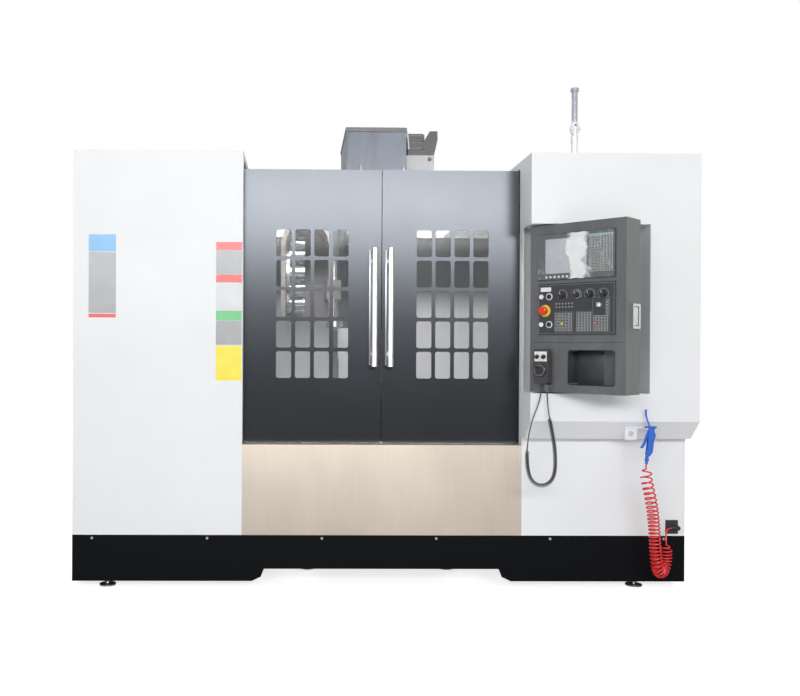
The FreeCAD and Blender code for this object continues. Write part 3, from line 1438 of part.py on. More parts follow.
def head_cover():
    """Sheet cover over the head and spindle motor with its rolled cap, and the plate beside it."""
    s = SHEET
    left = HEAD_LEFT_X - s
    right = HEAD_RIGHT_X + s
    rear = HEAD_COVER_FRONT_Y + HEAD_COVER_DEPTH
    shell = cut(
        box(left, right, HEAD_COVER_FRONT_Y, rear, HEAD_COVER_BOTTOM, HEAD_COVER_TOP),
        box(left + s, right - s, HEAD_COVER_FRONT_Y + s, rear - s, HEAD_COVER_BOTTOM - 1, HEAD_COVER_TOP - s),
        box(left + s, right - s, rear - s - 1, rear + 1, HEAD_COVER_BOTTOM - 1, HEAD_TOP),
    )
    cap = prism_y(
        [
            (left - 4.0, HEAD_COVER_TOP - HEAD_COVER_CAP),
            (right + 4.0, HEAD_COVER_TOP - HEAD_COVER_CAP),
            (right + 4.0, HEAD_COVER_TOP - 6.0),
            (right - 4.0, HEAD_COVER_TOP),
            (left + 4.0, HEAD_COVER_TOP),
            (left - 4.0, HEAD_COVER_TOP - 6.0),
        ],
        HEAD_COVER_FRONT_Y - 4.0,
        rear + 4.0,
    )
    front = HEAD_COVER_FRONT_Y + s
    cap_inside = box(left + s, right - s, front, rear - s, HEAD_COVER_BOTTOM, HEAD_COVER_TOP - s)
    t = SIDE_PLATE_SHEET
    x1 = SIDE_PLATE_RIGHT_X
    y0 = HEAD_COVER_FRONT_Y + SIDE_PLATE_SETBACK
    y1 = y0 + SIDE_PLATE_DEPTH
    z0 = HEAD_TOP - SIDE_PLATE_LAP
    side_plate = joined(
        box(right, x1, y0, y0 + t, z0, SIDE_PLATE_TOP),
        box(right, x1, y0, y1, SIDE_PLATE_TOP - t, SIDE_PLATE_TOP),
        box(x1 - t, x1, y0, y1, z0, SIDE_PLATE_TOP),
    )
    return joined(shell, cut(cap, cap_inside), side_plate)


def spindle_motor():
    """Square motor on its coupling housing, standing on the head inside the cover."""
    half = SPINDLE_MOTOR_SIZE / 2
    x = SPINDLE_X
    y = SPINDLE_Y
    skirt = cut(
        box(x - half + 12.0, x + half - 12.0, y - half + 12.0, y + half - 12.0, HEAD_TOP, HEAD_TOP + 60.0),
        rod(V(x, y, HEAD_TOP - 1), Z_AXIS, SPINDLE_RADIUS + 12.0, 40.0),
    )
    outline = [(x + a, y + b) for a, b in cut_square(half, half - 22.0)]
    body = prism_z(outline, HEAD_TOP + 60.0, SPINDLE_MOTOR_TOP)
    return joined(skirt, body)


def cable_carrier():
    """Stack of carrier links that loops over from the plate beside the head cover, with its end bracket."""
    y0 = HEAD_COVER_FRONT_Y + 46.0
    y1 = HEAD_COVER_FRONT_Y + 226.0
    s = 3.0
    base = SIDE_PLATE_TOP
    height = CARRIER_TOP - base
    pitch = height / CARRIER_LINKS * 3
    links = []
    for i in range(3):
        z = base + i * pitch
        links.append(
            cut(
                box(CARRIER_LEFT_X, CARRIER_RIGHT_X, y0, y1, z, z + pitch - 5.0),
                box(CARRIER_LEFT_X + 8.0, CARRIER_RIGHT_X - 8.0, y0 + 8.0, y1 - 8.0, z + 6.0, z + pitch + 1),
            )
        )
        links.append(
            box(
                CARRIER_LEFT_X + 6.0,
                CARRIER_RIGHT_X - 6.0,
                y0 + 4.0,
                y1 - 4.0,
                z + pitch - 6.0,
                z + pitch + 1.0,
            )
        )
    bracket = prism_y(
        [
            (CARRIER_RIGHT_X, base),
            (SIDE_PLATE_RIGHT_X + 1.0, base),
            (SIDE_PLATE_RIGHT_X + 22.0, base + 92.0),
            (SIDE_PLATE_RIGHT_X + 20.0, base + 138.0),
            (SIDE_PLATE_RIGHT_X - 22.0, base + 138.0),
            (SIDE_PLATE_RIGHT_X - 44.0, base + 96.0),
            (CARRIER_RIGHT_X, base + 88.0),
        ],
        y0,
        y0 + 120.0,
    )
    hollow = prism_y(
        [
            (CARRIER_RIGHT_X + 10.0, base + 10.0),
            (SIDE_PLATE_RIGHT_X - 6.0, base + 10.0),
            (SIDE_PLATE_RIGHT_X + 12.0, base + 94.0),
            (SIDE_PLATE_RIGHT_X - 30.0, base + 94.0),
            (CARRIER_RIGHT_X + 10.0, base + 76.0),
        ],
        y0 + s * 3,
        y0 + 111.0,
    )
    return joined(*links, cut(bracket, hollow))


def spindle():
    """Spindle shaft with its taper socket, draw bar bore and two drive keys."""
    x = SPINDLE_X
    y = SPINDLE_Y
    shaft = rod(V(x, y, NOSE_Z), Z_AXIS, SPINDLE_RADIUS, HEAD_TOP - NOSE_Z + 20.0)
    flange = rod(V(x, y, NOSE_Z), Z_AXIS, SPINDLE_FLANGE_RADIUS, SPINDLE_FLANGE_HEIGHT)
    small = TAPER_MOUTH_RADIUS - TAPER_LENGTH * TAPER_RATE
    socket = revolved(
        [
            (0, -1),
            (TAPER_MOUTH_RADIUS + TAPER_RATE, -1),
            (small, TAPER_LENGTH),
            (DRAWBAR_RADIUS, TAPER_LENGTH),
            (DRAWBAR_RADIUS, TAPER_LENGTH + 90.0),
            (0, TAPER_LENGTH + 90.0),
        ],
        V(x, y, NOSE_Z),
    )
    keys = [
        box(x + s * 42.0 - 16.0, x + s * 42.0 + 16.0, y - 8.0, y + 8.0, NOSE_Z - 8.0, NOSE_Z) for s in (-1, 1)
    ]
    return joined(cut(joined(shaft, flange), socket), *keys)


def z_ball_screw():
    start = V(SPINDLE_X, SCREW_Z_Y, ARCH_TOP + 40.0)
    return rod(start, Z_AXIS, SCREW_RADIUS, COLUMN_TOP + 6.0 - start.z)


# ------------------------------------------------------------------ tool magazine and arm
def arch_outline(inset, sill):
    """X, Z corners and the top's arc of the magazine's tunnel, drawn in by a sheet's thickness."""
    left = MAGAZINE_LEFT_X + inset
    right = MAGAZINE_RIGHT_X - inset
    middle = (left + right) / 2
    spring = MAGAZINE_TOP - (MAGAZINE_RIGHT_X - MAGAZINE_LEFT_X) / 2
    return left, right, middle, spring, sill


def arch_prism(inset, sill, y0, y1):
    left, right, middle, spring, low = arch_outline(inset, sill)
    top = V(middle, y0, spring + (right - left) / 2)
    edges = [
        Part.LineSegment(V(right, y0, spring), V(right, y0, low)).toShape(),
        Part.LineSegment(V(right, y0, low), V(left, y0, low)).toShape(),
        Part.LineSegment(V(left, y0, low), V(left, y0, spring)).toShape(),
        Part.Arc(V(left, y0, spring), top, V(right, y0, spring)).toShape(),
    ]
    return Part.Face(Part.Wire(edges)).extrude(V(0, y1 - y0, 0))


def magazine_housing():
    """Tunnel-shaped cover with a rolled front rim, the disc's axle, and the arm's gearbox on its beam."""
    s = SHEET
    reach = POT_CIRCLE_RADIUS + POT_RADIUS + MAGAZINE_MARGIN
    front = SPINDLE_Y - reach
    rear = SPINDLE_Y + reach
    tunnel = cut(
        arch_prism(0, MAGAZINE_SILL, front, rear),
        arch_prism(s, MAGAZINE_SILL - 1, front - 1, rear - s),
    )
    rim = cut(
        arch_prism(0, MAGAZINE_SILL, front, front + s),
        arch_prism(MAGAZINE_RIM, MAGAZINE_SILL - 1, front - 1, front + s + 1),
    )
    gearbox_bottom = ARM_TOP + ARM_STROKE + GEARBOX_GAP
    gearbox_front = SPINDLE_Y - ARM_SHAFT_RADIUS - GEARBOX_GAP
    window = box(
        GEARBOX_LEFT_X - GEARBOX_GAP,
        MAGAZINE_RIGHT_X + 1,
        gearbox_front - GEARBOX_GAP,
        rear - MAGAZINE_RIM,
        MAGAZINE_SILL - 1,
        GEARBOX_TOP + ARM_STROKE + GEARBOX_GAP,
    )
    gearbox = box(GEARBOX_LEFT_X, GEARBOX_RIGHT_X, gearbox_front, rear, gearbox_bottom, GEARBOX_TOP)
    beam = box(
        GEARBOX_LEFT_X, GEARBOX_RIGHT_X, rear - 1, COLUMN_FRONT_Y, GEARBOX_TOP - BEAM_HEIGHT, GEARBOX_TOP
    )
    shaft_bore = rod(
        V(ARM_X, SPINDLE_Y, gearbox_bottom - 1), Z_AXIS, ARM_SHAFT_RADIUS + RUNNING_FIT, GEARBOX_TOP
    )
    axle = rod(
        V(MAGAZINE_LEFT_X + s, SPINDLE_Y, DISC_Z),
        X_AXIS,
        DISC_AXLE_RADIUS,
        POT_X + POT_LENGTH / 2 - MAGAZINE_LEFT_X - s,
    )
    return joined(cut(tunnel, window), rim, cut(joined(gearbox, beam), shaft_bore), axle)


def tool_disc():
    """Disc on its hub with a ring of tool pots on its face, each with a socket that opens to the right."""
    back = POT_X - POT_LENGTH / 2
    plate = rod(V(back, SPINDLE_Y, DISC_Z), X_AXIS, POT_CIRCLE_RADIUS + POT_RADIUS, DISC_PLATE)
    hub = rod(V(back, SPINDLE_Y, DISC_Z), X_AXIS, DISC_AXLE_RADIUS + DISC_HUB_WALL, DISC_HUB_LENGTH)
    bore = rod(V(back - 1, SPINDLE_Y, DISC_Z), X_AXIS, DISC_AXLE_RADIUS + RUNNING_FIT, POT_LENGTH)
    pots = []
    for i in range(POT_COUNT):
        angle = 2 * math.pi * i / POT_COUNT
        y = SPINDLE_Y + POT_CIRCLE_RADIUS * math.sin(angle)
        z = DISC_Z - POT_CIRCLE_RADIUS * math.cos(angle)
        pot = rod(V(back + DISC_PLATE, y, z), X_AXIS, POT_RADIUS, POT_LENGTH - DISC_PLATE)
        socket = rod(V(back + POT_LENGTH - POT_BORE_DEPTH, y, z), X_AXIS, POT_BORE_RADIUS, POT_BORE_DEPTH + 1)
        pots.append(cut(pot, socket))
    return many([cut(joined(plate, hub), bore), *pots])


def change_arm_shaft():
    """Shaft that carries the arm and drops with it, sliding in the gearbox."""
    bottom = ARM_TOP - ARM_THICKNESS
    length = GEARBOX_TOP + ARM_STROKE - ARM_TOP
    return joined(
        rod(V(ARM_X, SPINDLE_Y, ARM_TOP + SLIP_GAP), Z_AXIS, ARM_SHAFT_RADIUS, length),
        rod(
            V(ARM_X, SPINDLE_Y, bottom - 10.0),
            Z_AXIS,
            ARM_SHAFT_RADIUS - ARM_NECK_STEP,
            ARM_THICKNESS + 12.0,
        ),
        rod(V(ARM_X, SPINDLE_Y, bottom - ARM_CAP), Z_AXIS, ARM_SHAFT_RADIUS - 4.0, ARM_CAP - SLIP_GAP),
    )


def change_arm():
    """Double-ended arm with a hooked gripper at each end, parked along Y."""
    z0 = ARM_TOP - ARM_THICKNESS
    hub = rod(V(ARM_X, SPINDLE_Y, z0), Z_AXIS, ARM_SHAFT_RADIUS + 12.0, ARM_THICKNESS)
    bar = box(
        ARM_X - ARM_WIDTH / 2,
        ARM_X + ARM_WIDTH / 2,
        SPINDLE_Y - ARM_REACH + GRIP_RADIUS,
        SPINDLE_Y + ARM_REACH - GRIP_RADIUS,
        z0,
        ARM_TOP,
    )
    grips = []
    mouths = []
    for s in (-1, 1):
        end = V(ARM_X, SPINDLE_Y + s * ARM_REACH, z0)
        grips.append(rod(end, Z_AXIS, GRIP_RADIUS + GRIP_WALL, ARM_THICKNESS))
        mouths.append(rod(end.sub(V(0, 0, 1)), Z_AXIS, GRIP_RADIUS, ARM_THICKNESS + 2))
        x0, x1 = sorted((ARM_X, ARM_X + s * 2 * ARM_WIDTH))
        half = GRIP_RADIUS - 1.0
        mouths.append(box(x0, x1, end.y - half, end.y + half, z0 - 1, ARM_TOP + 1))
    neck = ARM_SHAFT_RADIUS - ARM_NECK_STEP + RUNNING_FIT
    shaft_bore = rod(V(ARM_X, SPINDLE_Y, z0 - 1), Z_AXIS, neck, ARM_THICKNESS + 2)
    return cut(joined(hub, bar, *grips), shaft_bore, *mouths)


# ------------------------------------------------------------------ electrical cabinet
def hinge_places():
    """Lower ends of the hinge knuckles, on the line that the door swings about."""
    x = ELECTRIC_RIGHT_X + HINGE_RADIUS
    y = ELECTRIC_BACK_Y + HINGE_RADIUS
    return [V(x, y, ELECTRIC_BOTTOM + HINGE_LOW), V(x, y, ELECTRIC_TOP - HINGE_HIGH)]


def electrical_cabinet():
    """Steel cabinet on the rear wall, open where its door closes, with its back plate and four drives."""
    s = SHEET
    shell = cut(
        box(ELECTRIC_LEFT_X, ELECTRIC_RIGHT_X, GUARD_DEPTH, ELECTRIC_BACK_Y, ELECTRIC_BOTTOM, ELECTRIC_TOP),
        box(
            ELECTRIC_LEFT_X + s,
            ELECTRIC_RIGHT_X - s,
            GUARD_DEPTH + s,
            ELECTRIC_BACK_Y + 1,
            ELECTRIC_BOTTOM + s,
            ELECTRIC_TOP - s,
        ),
    )
    plate_face = GUARD_DEPTH + s + BACK_PLATE_THICKNESS
    back_plate = box(
        ELECTRIC_LEFT_X + BACK_PLATE_MARGIN_X,
        ELECTRIC_RIGHT_X - BACK_PLATE_MARGIN_X,
        GUARD_DEPTH + s,
        plate_face,
        ELECTRIC_BOTTOM + BACK_PLATE_MARGIN_Z,
        ELECTRIC_TOP - BACK_PLATE_MARGIN_Z,
    )
    drives = []
    for i in range(DRIVE_COUNT):
        left = ELECTRIC_LEFT_X + DRIVE_INSET + i * DRIVE_PITCH
        right = left + DRIVE_WIDTH
        drives.append(box(left, right, plate_face, GUARD_DEPTH + DRIVE_REACH, DRIVE_BOTTOM, DRIVE_TOP))
    knuckles = []
    leaves = []
    pin_holes = []
    bore = HINGE_RADIUS / 2 + RUNNING_FIT
    for place in hinge_places():
        knuckles.append(rod(place, Z_AXIS, HINGE_RADIUS, KNUCKLE_LENGTH))
        leaves.append(
            box(
                ELECTRIC_RIGHT_X,
                ELECTRIC_RIGHT_X + HINGE_LEAF,
                ELECTRIC_BACK_Y - 30.0,
                place.y,
                place.z,
                place.z + KNUCKLE_LENGTH,
            )
        )
        pin_holes.append(rod(place.sub(V(0, 0, 1)), Z_AXIS, bore, KNUCKLE_LENGTH + 2))
    return cut(joined(shell, back_plate, *drives, *knuckles, *leaves), *pin_holes)


def electrical_door():
    """Folded door with its hinge pins, a slotted vent and its grip."""
    y0 = ELECTRIC_BACK_Y + SLIP_GAP
    y1 = y0 + ELECTRIC_DOOR
    panel = box(ELECTRIC_LEFT_X, ELECTRIC_RIGHT_X, y0, y1, ELECTRIC_BOTTOM, ELECTRIC_TOP)
    vent_left = ELECTRIC_LEFT_X + VENT_INSET
    vent_right = ELECTRIC_RIGHT_X - VENT_INSET
    slots = []
    for i in range(VENT_SLOTS):
        z = VENT_BOTTOM + i * VENT_PITCH
        slots.append(box(vent_left, vent_right, y1 - VENT_DEPTH, y1 + 1, z, z + VENT_HEIGHT))
    pins = []
    for place in hinge_places():
        cap = place.add(V(0, 0, KNUCKLE_LENGTH + SLIP_GAP))
        pins.append(rod(place, Z_AXIS, HINGE_RADIUS / 2, KNUCKLE_LENGTH + HINGE_CAP))
        pins.append(rod(cap, Z_AXIS, HINGE_RADIUS, HINGE_CAP))
        pins.append(
            box(
                ELECTRIC_RIGHT_X - 20.0,
                cap.x,
                cap.y + HINGE_RADIUS - 5.0,
                cap.y + HINGE_RADIUS,
                cap.z,
                cap.z + HINGE_CAP,
            )
        )
    grip_left = ELECTRIC_LEFT_X + DOOR_GRIP_INSET
    grip_top = DOOR_GRIP_BOTTOM + DOOR_GRIP_HEIGHT
    grip = box(grip_left, grip_left + DOOR_GRIP_WIDTH, y1, y1 + DOOR_GRIP_OUT, DOOR_GRIP_BOTTOM, grip_top)
    return joined(cut(panel, *slots), grip, *pins)


# ------------------------------------------------------------------ control box
# Its pieces are drawn upright and square: X across the face, Z up it, and the face looking to -Y at Y = 0.
def on_panel(shape):
    """Turns a piece drawn on the square face to its place on the machine."""
    turned = shape.copy()
    turned.rotate(V(0, 0, 0), Z_AXIS, -PANEL_TURN)
    turned.translate(V(PANEL_CORNER_X, PANEL_CORNER_Y, PANEL_BOTTOM))
    return turned


def unit_seat(left, right, bottom, top):
    """Seat in the housing for a unit, larger by its fit all round."""
    f = RUNNING_FIT
    return box(left - f, right + f, -1, UNIT_SEAT, bottom - f, top + f)


def panel_housing():
    """Folded box of the control with its sunk pocket, hinge pins, side pull and the pendant's holder."""
    block_shape = box(0, PANEL_WIDTH, 0, PANEL_DEPTH, 0, PANEL_HEIGHT)
    display_seat = unit_seat(DISPLAY_LEFT, DISPLAY_RIGHT, DISPLAY_BOTTOM, DISPLAY_TOP)
    operator_seat = unit_seat(OPERATOR_LEFT, OPERATOR_RIGHT, OPERATOR_BOTTOM, OPERATOR_TOP)
    pocket = round_bar_y(
        POCKET_LEFT, POCKET_RIGHT, -1, POCKET_DEPTH, POCKET_BOTTOM, POCKET_TOP, POCKET_CORNER
    )
    crease = prism_x([(-1, CREASE_Z - 3.0), (2.0, CREASE_Z), (-1, CREASE_Z + 3.0)], -1, PANEL_WIDTH + 1)
    pins = []
    px = PIVOT_INSET_X
    py = PIVOT_INSET_Y
    pin_length = RECESS_GAP + SHEET + PIVOT_END
    pins.append(rod(V(px, py, PANEL_HEIGHT), Z_AXIS, PIVOT_RADIUS, pin_length))
    pins.append(rod(V(px, py, -pin_length), Z_AXIS, PIVOT_RADIUS, pin_length))
    washer = RECESS_GAP - SLIP_GAP
    pins.append(rod(V(px, py, PANEL_HEIGHT), Z_AXIS, PIVOT_WASHER_RADIUS, washer))
    pins.append(rod(V(px, py, -washer), Z_AXIS, PIVOT_WASHER_RADIUS, washer))
    pull = cut(
        box(
            PANEL_WIDTH,
            PANEL_WIDTH + PULL_PROUD,
            PULL_INSET,
            PULL_INSET + PULL_WIDTH,
            PULL_BOTTOM,
            PULL_BOTTOM + PULL_HEIGHT,
        ),
        box(
            PANEL_WIDTH + PULL_FLOOR,
            PANEL_WIDTH + PULL_PROUD + 1,
            PULL_INSET + PULL_RIM,
            PULL_INSET + PULL_WIDTH - PULL_RIM,
            PULL_BOTTOM + PULL_RIM,
            PULL_BOTTOM + PULL_HEIGHT - PULL_RIM,
        ),
    )
    shelf_z = PENDANT_BOTTOM + 14.0
    middle = PENDANT_LEFT + PENDANT_WIDTH / 2
    holder = joined(
        box(
            PENDANT_LEFT - HOLDER_MARGIN_LEFT,
            PENDANT_LEFT + PENDANT_WIDTH + HOLDER_MARGIN_RIGHT,
            -HOLDER_PLATE,
            0,
            PENDANT_BOTTOM + 4.0,
            PENDANT_BOTTOM + PENDANT_HEIGHT - 10.0,
        ),
        box(
            middle - HOLDER_WEB_HALF,
            middle + HOLDER_WEB_HALF,
            -HOLDER_THICKNESS,
            -HOLDER_PLATE,
            PENDANT_BOTTOM + 40.0,
            PENDANT_BOTTOM + 130.0,
        ),
        box(
            middle - HOLDER_SHELF_HALF,
            middle + HOLDER_SHELF_HALF,
            -HOLDER_THICKNESS,
            0,
            shelf_z - 10.0,
            shelf_z + 8.0,
        ),
    )
    gland = joined(
        box(GLAND_X - 11.0, GLAND_X + 11.0, -GLAND_OUT - 11.0, 0, GLAND_Z, GLAND_Z + 22.0),
        rod(V(GLAND_X, -GLAND_OUT, GLAND_Z), V(0, 0, -1), 7.0, GLAND_DROP),
    )
    body = cut(block_shape, display_seat, operator_seat, pocket, crease)
    return on_panel(joined(body, *pins, pull, holder, gland))


def key_grid(left, bottom, columns, rows, front):
    """Raised key caps in rows, on a unit's front."""
    return [
        box(
            left + i * KEY_PITCH,
            left + i * KEY_PITCH + KEY_SIZE,
            front - KEY_PROUD,
            front,
            bottom + j * KEY_PITCH,
            bottom + j * KEY_PITCH + KEY_SIZE,
        )
        for i in range(columns)
        for j in range(rows)
    ]


def display_unit():
    """Screen unit with its sunk screen, the card slot cover, the soft key row and the key block."""
    front = -UNIT_PROUD
    frame = box(DISPLAY_LEFT, DISPLAY_RIGHT, front, UNIT_SEAT, DISPLAY_BOTTOM, DISPLAY_TOP)
    screen = box(SCREEN_LEFT, SCREEN_RIGHT, front - 1, front + SCREEN_SUNK, SCREEN_BOTTOM, SCREEN_TOP)
    cover_left = DISPLAY_LEFT + CARD_COVER_INSET
    cover_bottom = DISPLAY_BOTTOM + CARD_COVER_UP
    slot_cover = box(
        cover_left,
        cover_left + CARD_COVER_WIDTH,
        front - KEY_PROUD,
        front,
        cover_bottom,
        cover_bottom + CARD_COVER_HEIGHT,
    )
    soft_z = DISPLAY_BOTTOM + SOFT_KEY_UP
    soft_keys = []
    for i in range(SOFT_KEY_COUNT):
        x = SCREEN_LEFT + SOFT_KEY_INSET + i * SOFT_KEY_PITCH
        soft_keys.append(
            box(x, x + SOFT_KEY_WIDTH, front - KEY_PROUD, front, soft_z, soft_z + SOFT_KEY_HEIGHT)
        )
    keys = key_grid(
        SCREEN_RIGHT + DISPLAY_KEYS_RIGHT_OF_SCREEN,
        DISPLAY_BOTTOM + DISPLAY_KEYS_UP,
        DISPLAY_KEY_COLUMNS,
        DISPLAY_KEY_ROWS,
        front,
    )
    return on_panel(joined(cut(frame, screen), slot_cover, *soft_keys, *keys))


def operator_panel():
    """Switch panel with its bushes, counter window and key blocks."""
    front = -UNIT_PROUD
    plate = box(OPERATOR_LEFT, OPERATOR_RIGHT, front, UNIT_SEAT, OPERATOR_BOTTOM, OPERATOR_TOP)
    holes = []
    rings = []
    hole_radius = SWITCH_STEM_RADIUS + RUNNING_FIT
    for x in ROTARY_X:
        rings.append(rod(V(x, front - COLLAR_HEIGHT, ROTARY_Z), Y_AXIS, ROTARY_COLLAR_RADIUS, COLLAR_HEIGHT))
        holes.append(rod(V(x, front - 3.0, ROTARY_Z), Y_AXIS, hole_radius, SWITCH_STEM_DEPTH + 6.0))
    rings.append(rod(V(KEY_X, front - COLLAR_HEIGHT, KEY_Z), Y_AXIS, KEY_RADIUS + 4.0, COLLAR_HEIGHT))
    holes.append(rod(V(KEY_X, front - 3.0, KEY_Z), Y_AXIS, hole_radius, SWITCH_STEM_DEPTH + 6.0))
    rings.append(rod(V(STOP_X, front - COLLAR_HEIGHT, STOP_Z), Y_AXIS, STOP_RING_RADIUS, COLLAR_HEIGHT))
    holes.append(rod(V(STOP_X, front - 3.0, STOP_Z), Y_AXIS, hole_radius, SWITCH_STEM_DEPTH + 12.0))
    for x in BUTTON_X:
        for z in BUTTON_Z:
            bezel_y = front - BUTTON_BEZEL_HEIGHT
            rings.append(rod(V(x, bezel_y, z), Y_AXIS, BUTTON_BEZEL_RADIUS, BUTTON_BEZEL_HEIGHT))
            holes.append(rod(V(x, front - 4.0, z), Y_AXIS, hole_radius, SWITCH_STEM_DEPTH + 12.0))
            holes.append(rod(V(x, front - 4.0, z), Y_AXIS, BUTTON_RADIUS + RUNNING_FIT, 4.0 + BUTTON_TRAVEL))
    counter = box(
        COUNTER_LEFT,
        COUNTER_LEFT + COUNTER_WIDTH,
        front - KEY_PROUD,
        front,
        COUNTER_BOTTOM,
        COUNTER_BOTTOM + COUNTER_HEIGHT,
    )
    keys = [key for group in KEY_GROUPS for key in key_grid(*group, front)]
    return on_panel(cut(joined(plate, *rings, counter, *keys), *holes))


def rotary_switch(x):
    """A ribbed knob with its pointer flat, on a stem in the panel's bush."""
    base = -UNIT_PROUD - COLLAR_HEIGHT - SLIP_GAP
    knob = revolved(
        [
            (0, 0),
            (ROTARY_RADIUS + 2.0, 0),
            (ROTARY_RADIUS, 5.0),
            (ROTARY_RADIUS, ROTARY_HEIGHT),
            (0, ROTARY_HEIGHT),
        ],
        V(x, base, ROTARY_Z),
        V(0, -1, 0),
    )
    stem = rod(V(x, base, ROTARY_Z), Y_AXIS, SWITCH_STEM_RADIUS, SWITCH_STEM_DEPTH)
    top = base - ROTARY_HEIGHT
    pointer = box(x - 2.0, x + 2.0, top - 2.0, top, ROTARY_Z, ROTARY_Z + ROTARY_RADIUS)
    return on_panel(joined(knob, stem, pointer))


def key_switch():
    base = -UNIT_PROUD - COLLAR_HEIGHT - SLIP_GAP
    barrel = rod(V(KEY_X, base, KEY_Z), V(0, -1, 0), KEY_RADIUS, 6.0)
    bow = box(KEY_X - 1.5, KEY_X + 1.5, base - 26.0, base - 6.0, KEY_Z - 11.0, KEY_Z + 11.0)
    stem = rod(V(KEY_X, base, KEY_Z), Y_AXIS, SWITCH_STEM_RADIUS, SWITCH_STEM_DEPTH)
    return on_panel(joined(barrel, bow, stem))


def emergency_stop():
    """Mushroom head that is pressed in."""
    base = -UNIT_PROUD - COLLAR_HEIGHT - BUTTON_TRAVEL - SLIP_GAP
    head = revolved(
        [
            (0, 0),
            (STOP_RADIUS * 0.62, 0),
            (STOP_RADIUS * 0.62, STOP_HEIGHT * 0.35),
            (STOP_RADIUS, STOP_HEIGHT * 0.5),
            (STOP_RADIUS, STOP_HEIGHT * 0.85),
            (STOP_RADIUS * 0.8, STOP_HEIGHT),
            (0, STOP_HEIGHT),
        ],
        V(STOP_X, base, STOP_Z),
        V(0, -1, 0),
    )
    stem = rod(V(STOP_X, base, STOP_Z), Y_AXIS, SWITCH_STEM_RADIUS, SWITCH_STEM_DEPTH + BUTTON_TRAVEL)
    return on_panel(joined(head, stem))


def push_button(x, z):
    """Round button sunk in its ring, on a stem."""
    back = -UNIT_PROUD - SLIP_GAP
    cap = rod(V(x, back, z), V(0, -1, 0), BUTTON_RADIUS, BUTTON_HEIGHT)
    stem = rod(V(x, back, z), Y_AXIS, SWITCH_STEM_RADIUS, SWITCH_STEM_DEPTH)
    return on_panel(joined(cap, stem))


# ------------------------------------------------------------------ pendant
def pendant_body():
    """Hand-held box with rounded ends, the dial's seat and the cord's strain relief."""
    body = round_bar_y(
        PENDANT_LEFT,
        PENDANT_LEFT + PENDANT_WIDTH,
        -PENDANT_FRONT,
        -PENDANT_BACK - SLIP_GAP,
        PENDANT_BOTTOM,
        PENDANT_BOTTOM + PENDANT_HEIGHT,
        PENDANT_CORNER,
    )
    holes = [
        rod(V(x, -PENDANT_FRONT - 1, z), Y_AXIS, SWITCH_STEM_RADIUS - 2.0 + RUNNING_FIT, 12.0)
        for x, z in pendant_controls()
    ]
    relief = revolved(
        [(0, 0), (9.0, 0), (8.0, 8.0), (5.0, RELIEF_LENGTH), (0, RELIEF_LENGTH)],
        V(RELIEF_X, RELIEF_Y, PENDANT_BOTTOM),
        V(0, 0, -1),
    )
    return on_panel(joined(cut(body, *holes), relief))


def pendant_controls():
    middle = PENDANT_LEFT + PENDANT_WIDTH / 2
    dial = (middle, PENDANT_BOTTOM + DIAL_UP)
    selectors = [
        (PENDANT_LEFT + SELECTOR_INSET, PENDANT_BOTTOM + SELECTOR_UP),
        (PENDANT_LEFT + PENDANT_WIDTH - SELECTOR_INSET, PENDANT_BOTTOM + SELECTOR_UP),
    ]
    return [dial] + selectors


def pendant_dial():
    """Hand wheel with its crank knob."""
    x, z = pendant_controls()[0]
    base = -PENDANT_FRONT - SLIP_GAP
    wheel = revolved(
        [
            (0, 0),
            (DIAL_RADIUS, 0),
            (DIAL_RADIUS, DIAL_HEIGHT - DIAL_RIM),
            (DIAL_RADIUS - DIAL_RIM, DIAL_HEIGHT),
            (0, DIAL_HEIGHT),
        ],
        V(x, base, z),
        V(0, -1, 0),
    )
    knob = rod(V(x - 14.0, base - DIAL_HEIGHT, z + 14.0), V(0, -1, 0), 5.0, 12.0)
    stem = rod(V(x, base, z), Y_AXIS, SWITCH_STEM_RADIUS - 2.0, PENDANT_STEM_LENGTH)
    return on_panel(joined(wheel, knob, stem))


def pendant_selector(index):
    x, z = pendant_controls()[index]
    base = -PENDANT_FRONT - SLIP_GAP
    knob = rod(V(x, base, z), V(0, -1, 0), SELECTOR_RADIUS, SELECTOR_HEIGHT - SELECTOR_GRIP_HEIGHT)
    grip = box(
        x - SELECTOR_GRIP_HALF,
        x + SELECTOR_GRIP_HALF,
        base - SELECTOR_HEIGHT,
        base - SELECTOR_HEIGHT + SELECTOR_GRIP_HEIGHT,
        z - SELECTOR_RADIUS + 1.0,
        z + SELECTOR_RADIUS - 1.0,
    )
    stem = rod(V(x, base, z), Y_AXIS, SWITCH_STEM_RADIUS - 2.0, PENDANT_STEM_LENGTH)
    return on_panel(joined(knob, grip, stem))


# ------------------------------------------------------------------ signal light
def signal_base():
    """Tube, knurled neck and the tongue that the lamp folds on."""
    tube = revolved(
        [
            (0, 0),
            (LAMP_BASE_RADIUS + 18.0, 0),
            (LAMP_BASE_RADIUS + 18.0, 5.0),
            (LAMP_BASE_RADIUS, 9.0),
            (LAMP_BASE_RADIUS, LAMP_NECK_BOTTOM - RIGHT_TOP),
            (LAMP_NECK_RADIUS, LAMP_NECK_BOTTOM - RIGHT_TOP),
            (LAMP_NECK_RADIUS, LAMP_NECK_TOP - RIGHT_TOP),
            (0, LAMP_NECK_TOP - RIGHT_TOP),
        ],
        V(LAMP_X, LAMP_Y, RIGHT_TOP),
    )
    tongue = box(
        LAMP_X - LAMP_TONGUE_HALF,
        LAMP_X + LAMP_TONGUE_HALF,
        LAMP_Y - 14.0,
        LAMP_Y + 14.0,
        LAMP_NECK_TOP - 2.0,
        LAMP_PIVOT_Z + 12.0,
    )
    pin_hole = rod(V(LAMP_X - 10.0, LAMP_Y, LAMP_PIVOT_Z), X_AXIS, LAMP_PIN_RADIUS + RUNNING_FIT, 20.0)
    return cut(joined(tube, tongue), pin_hole)


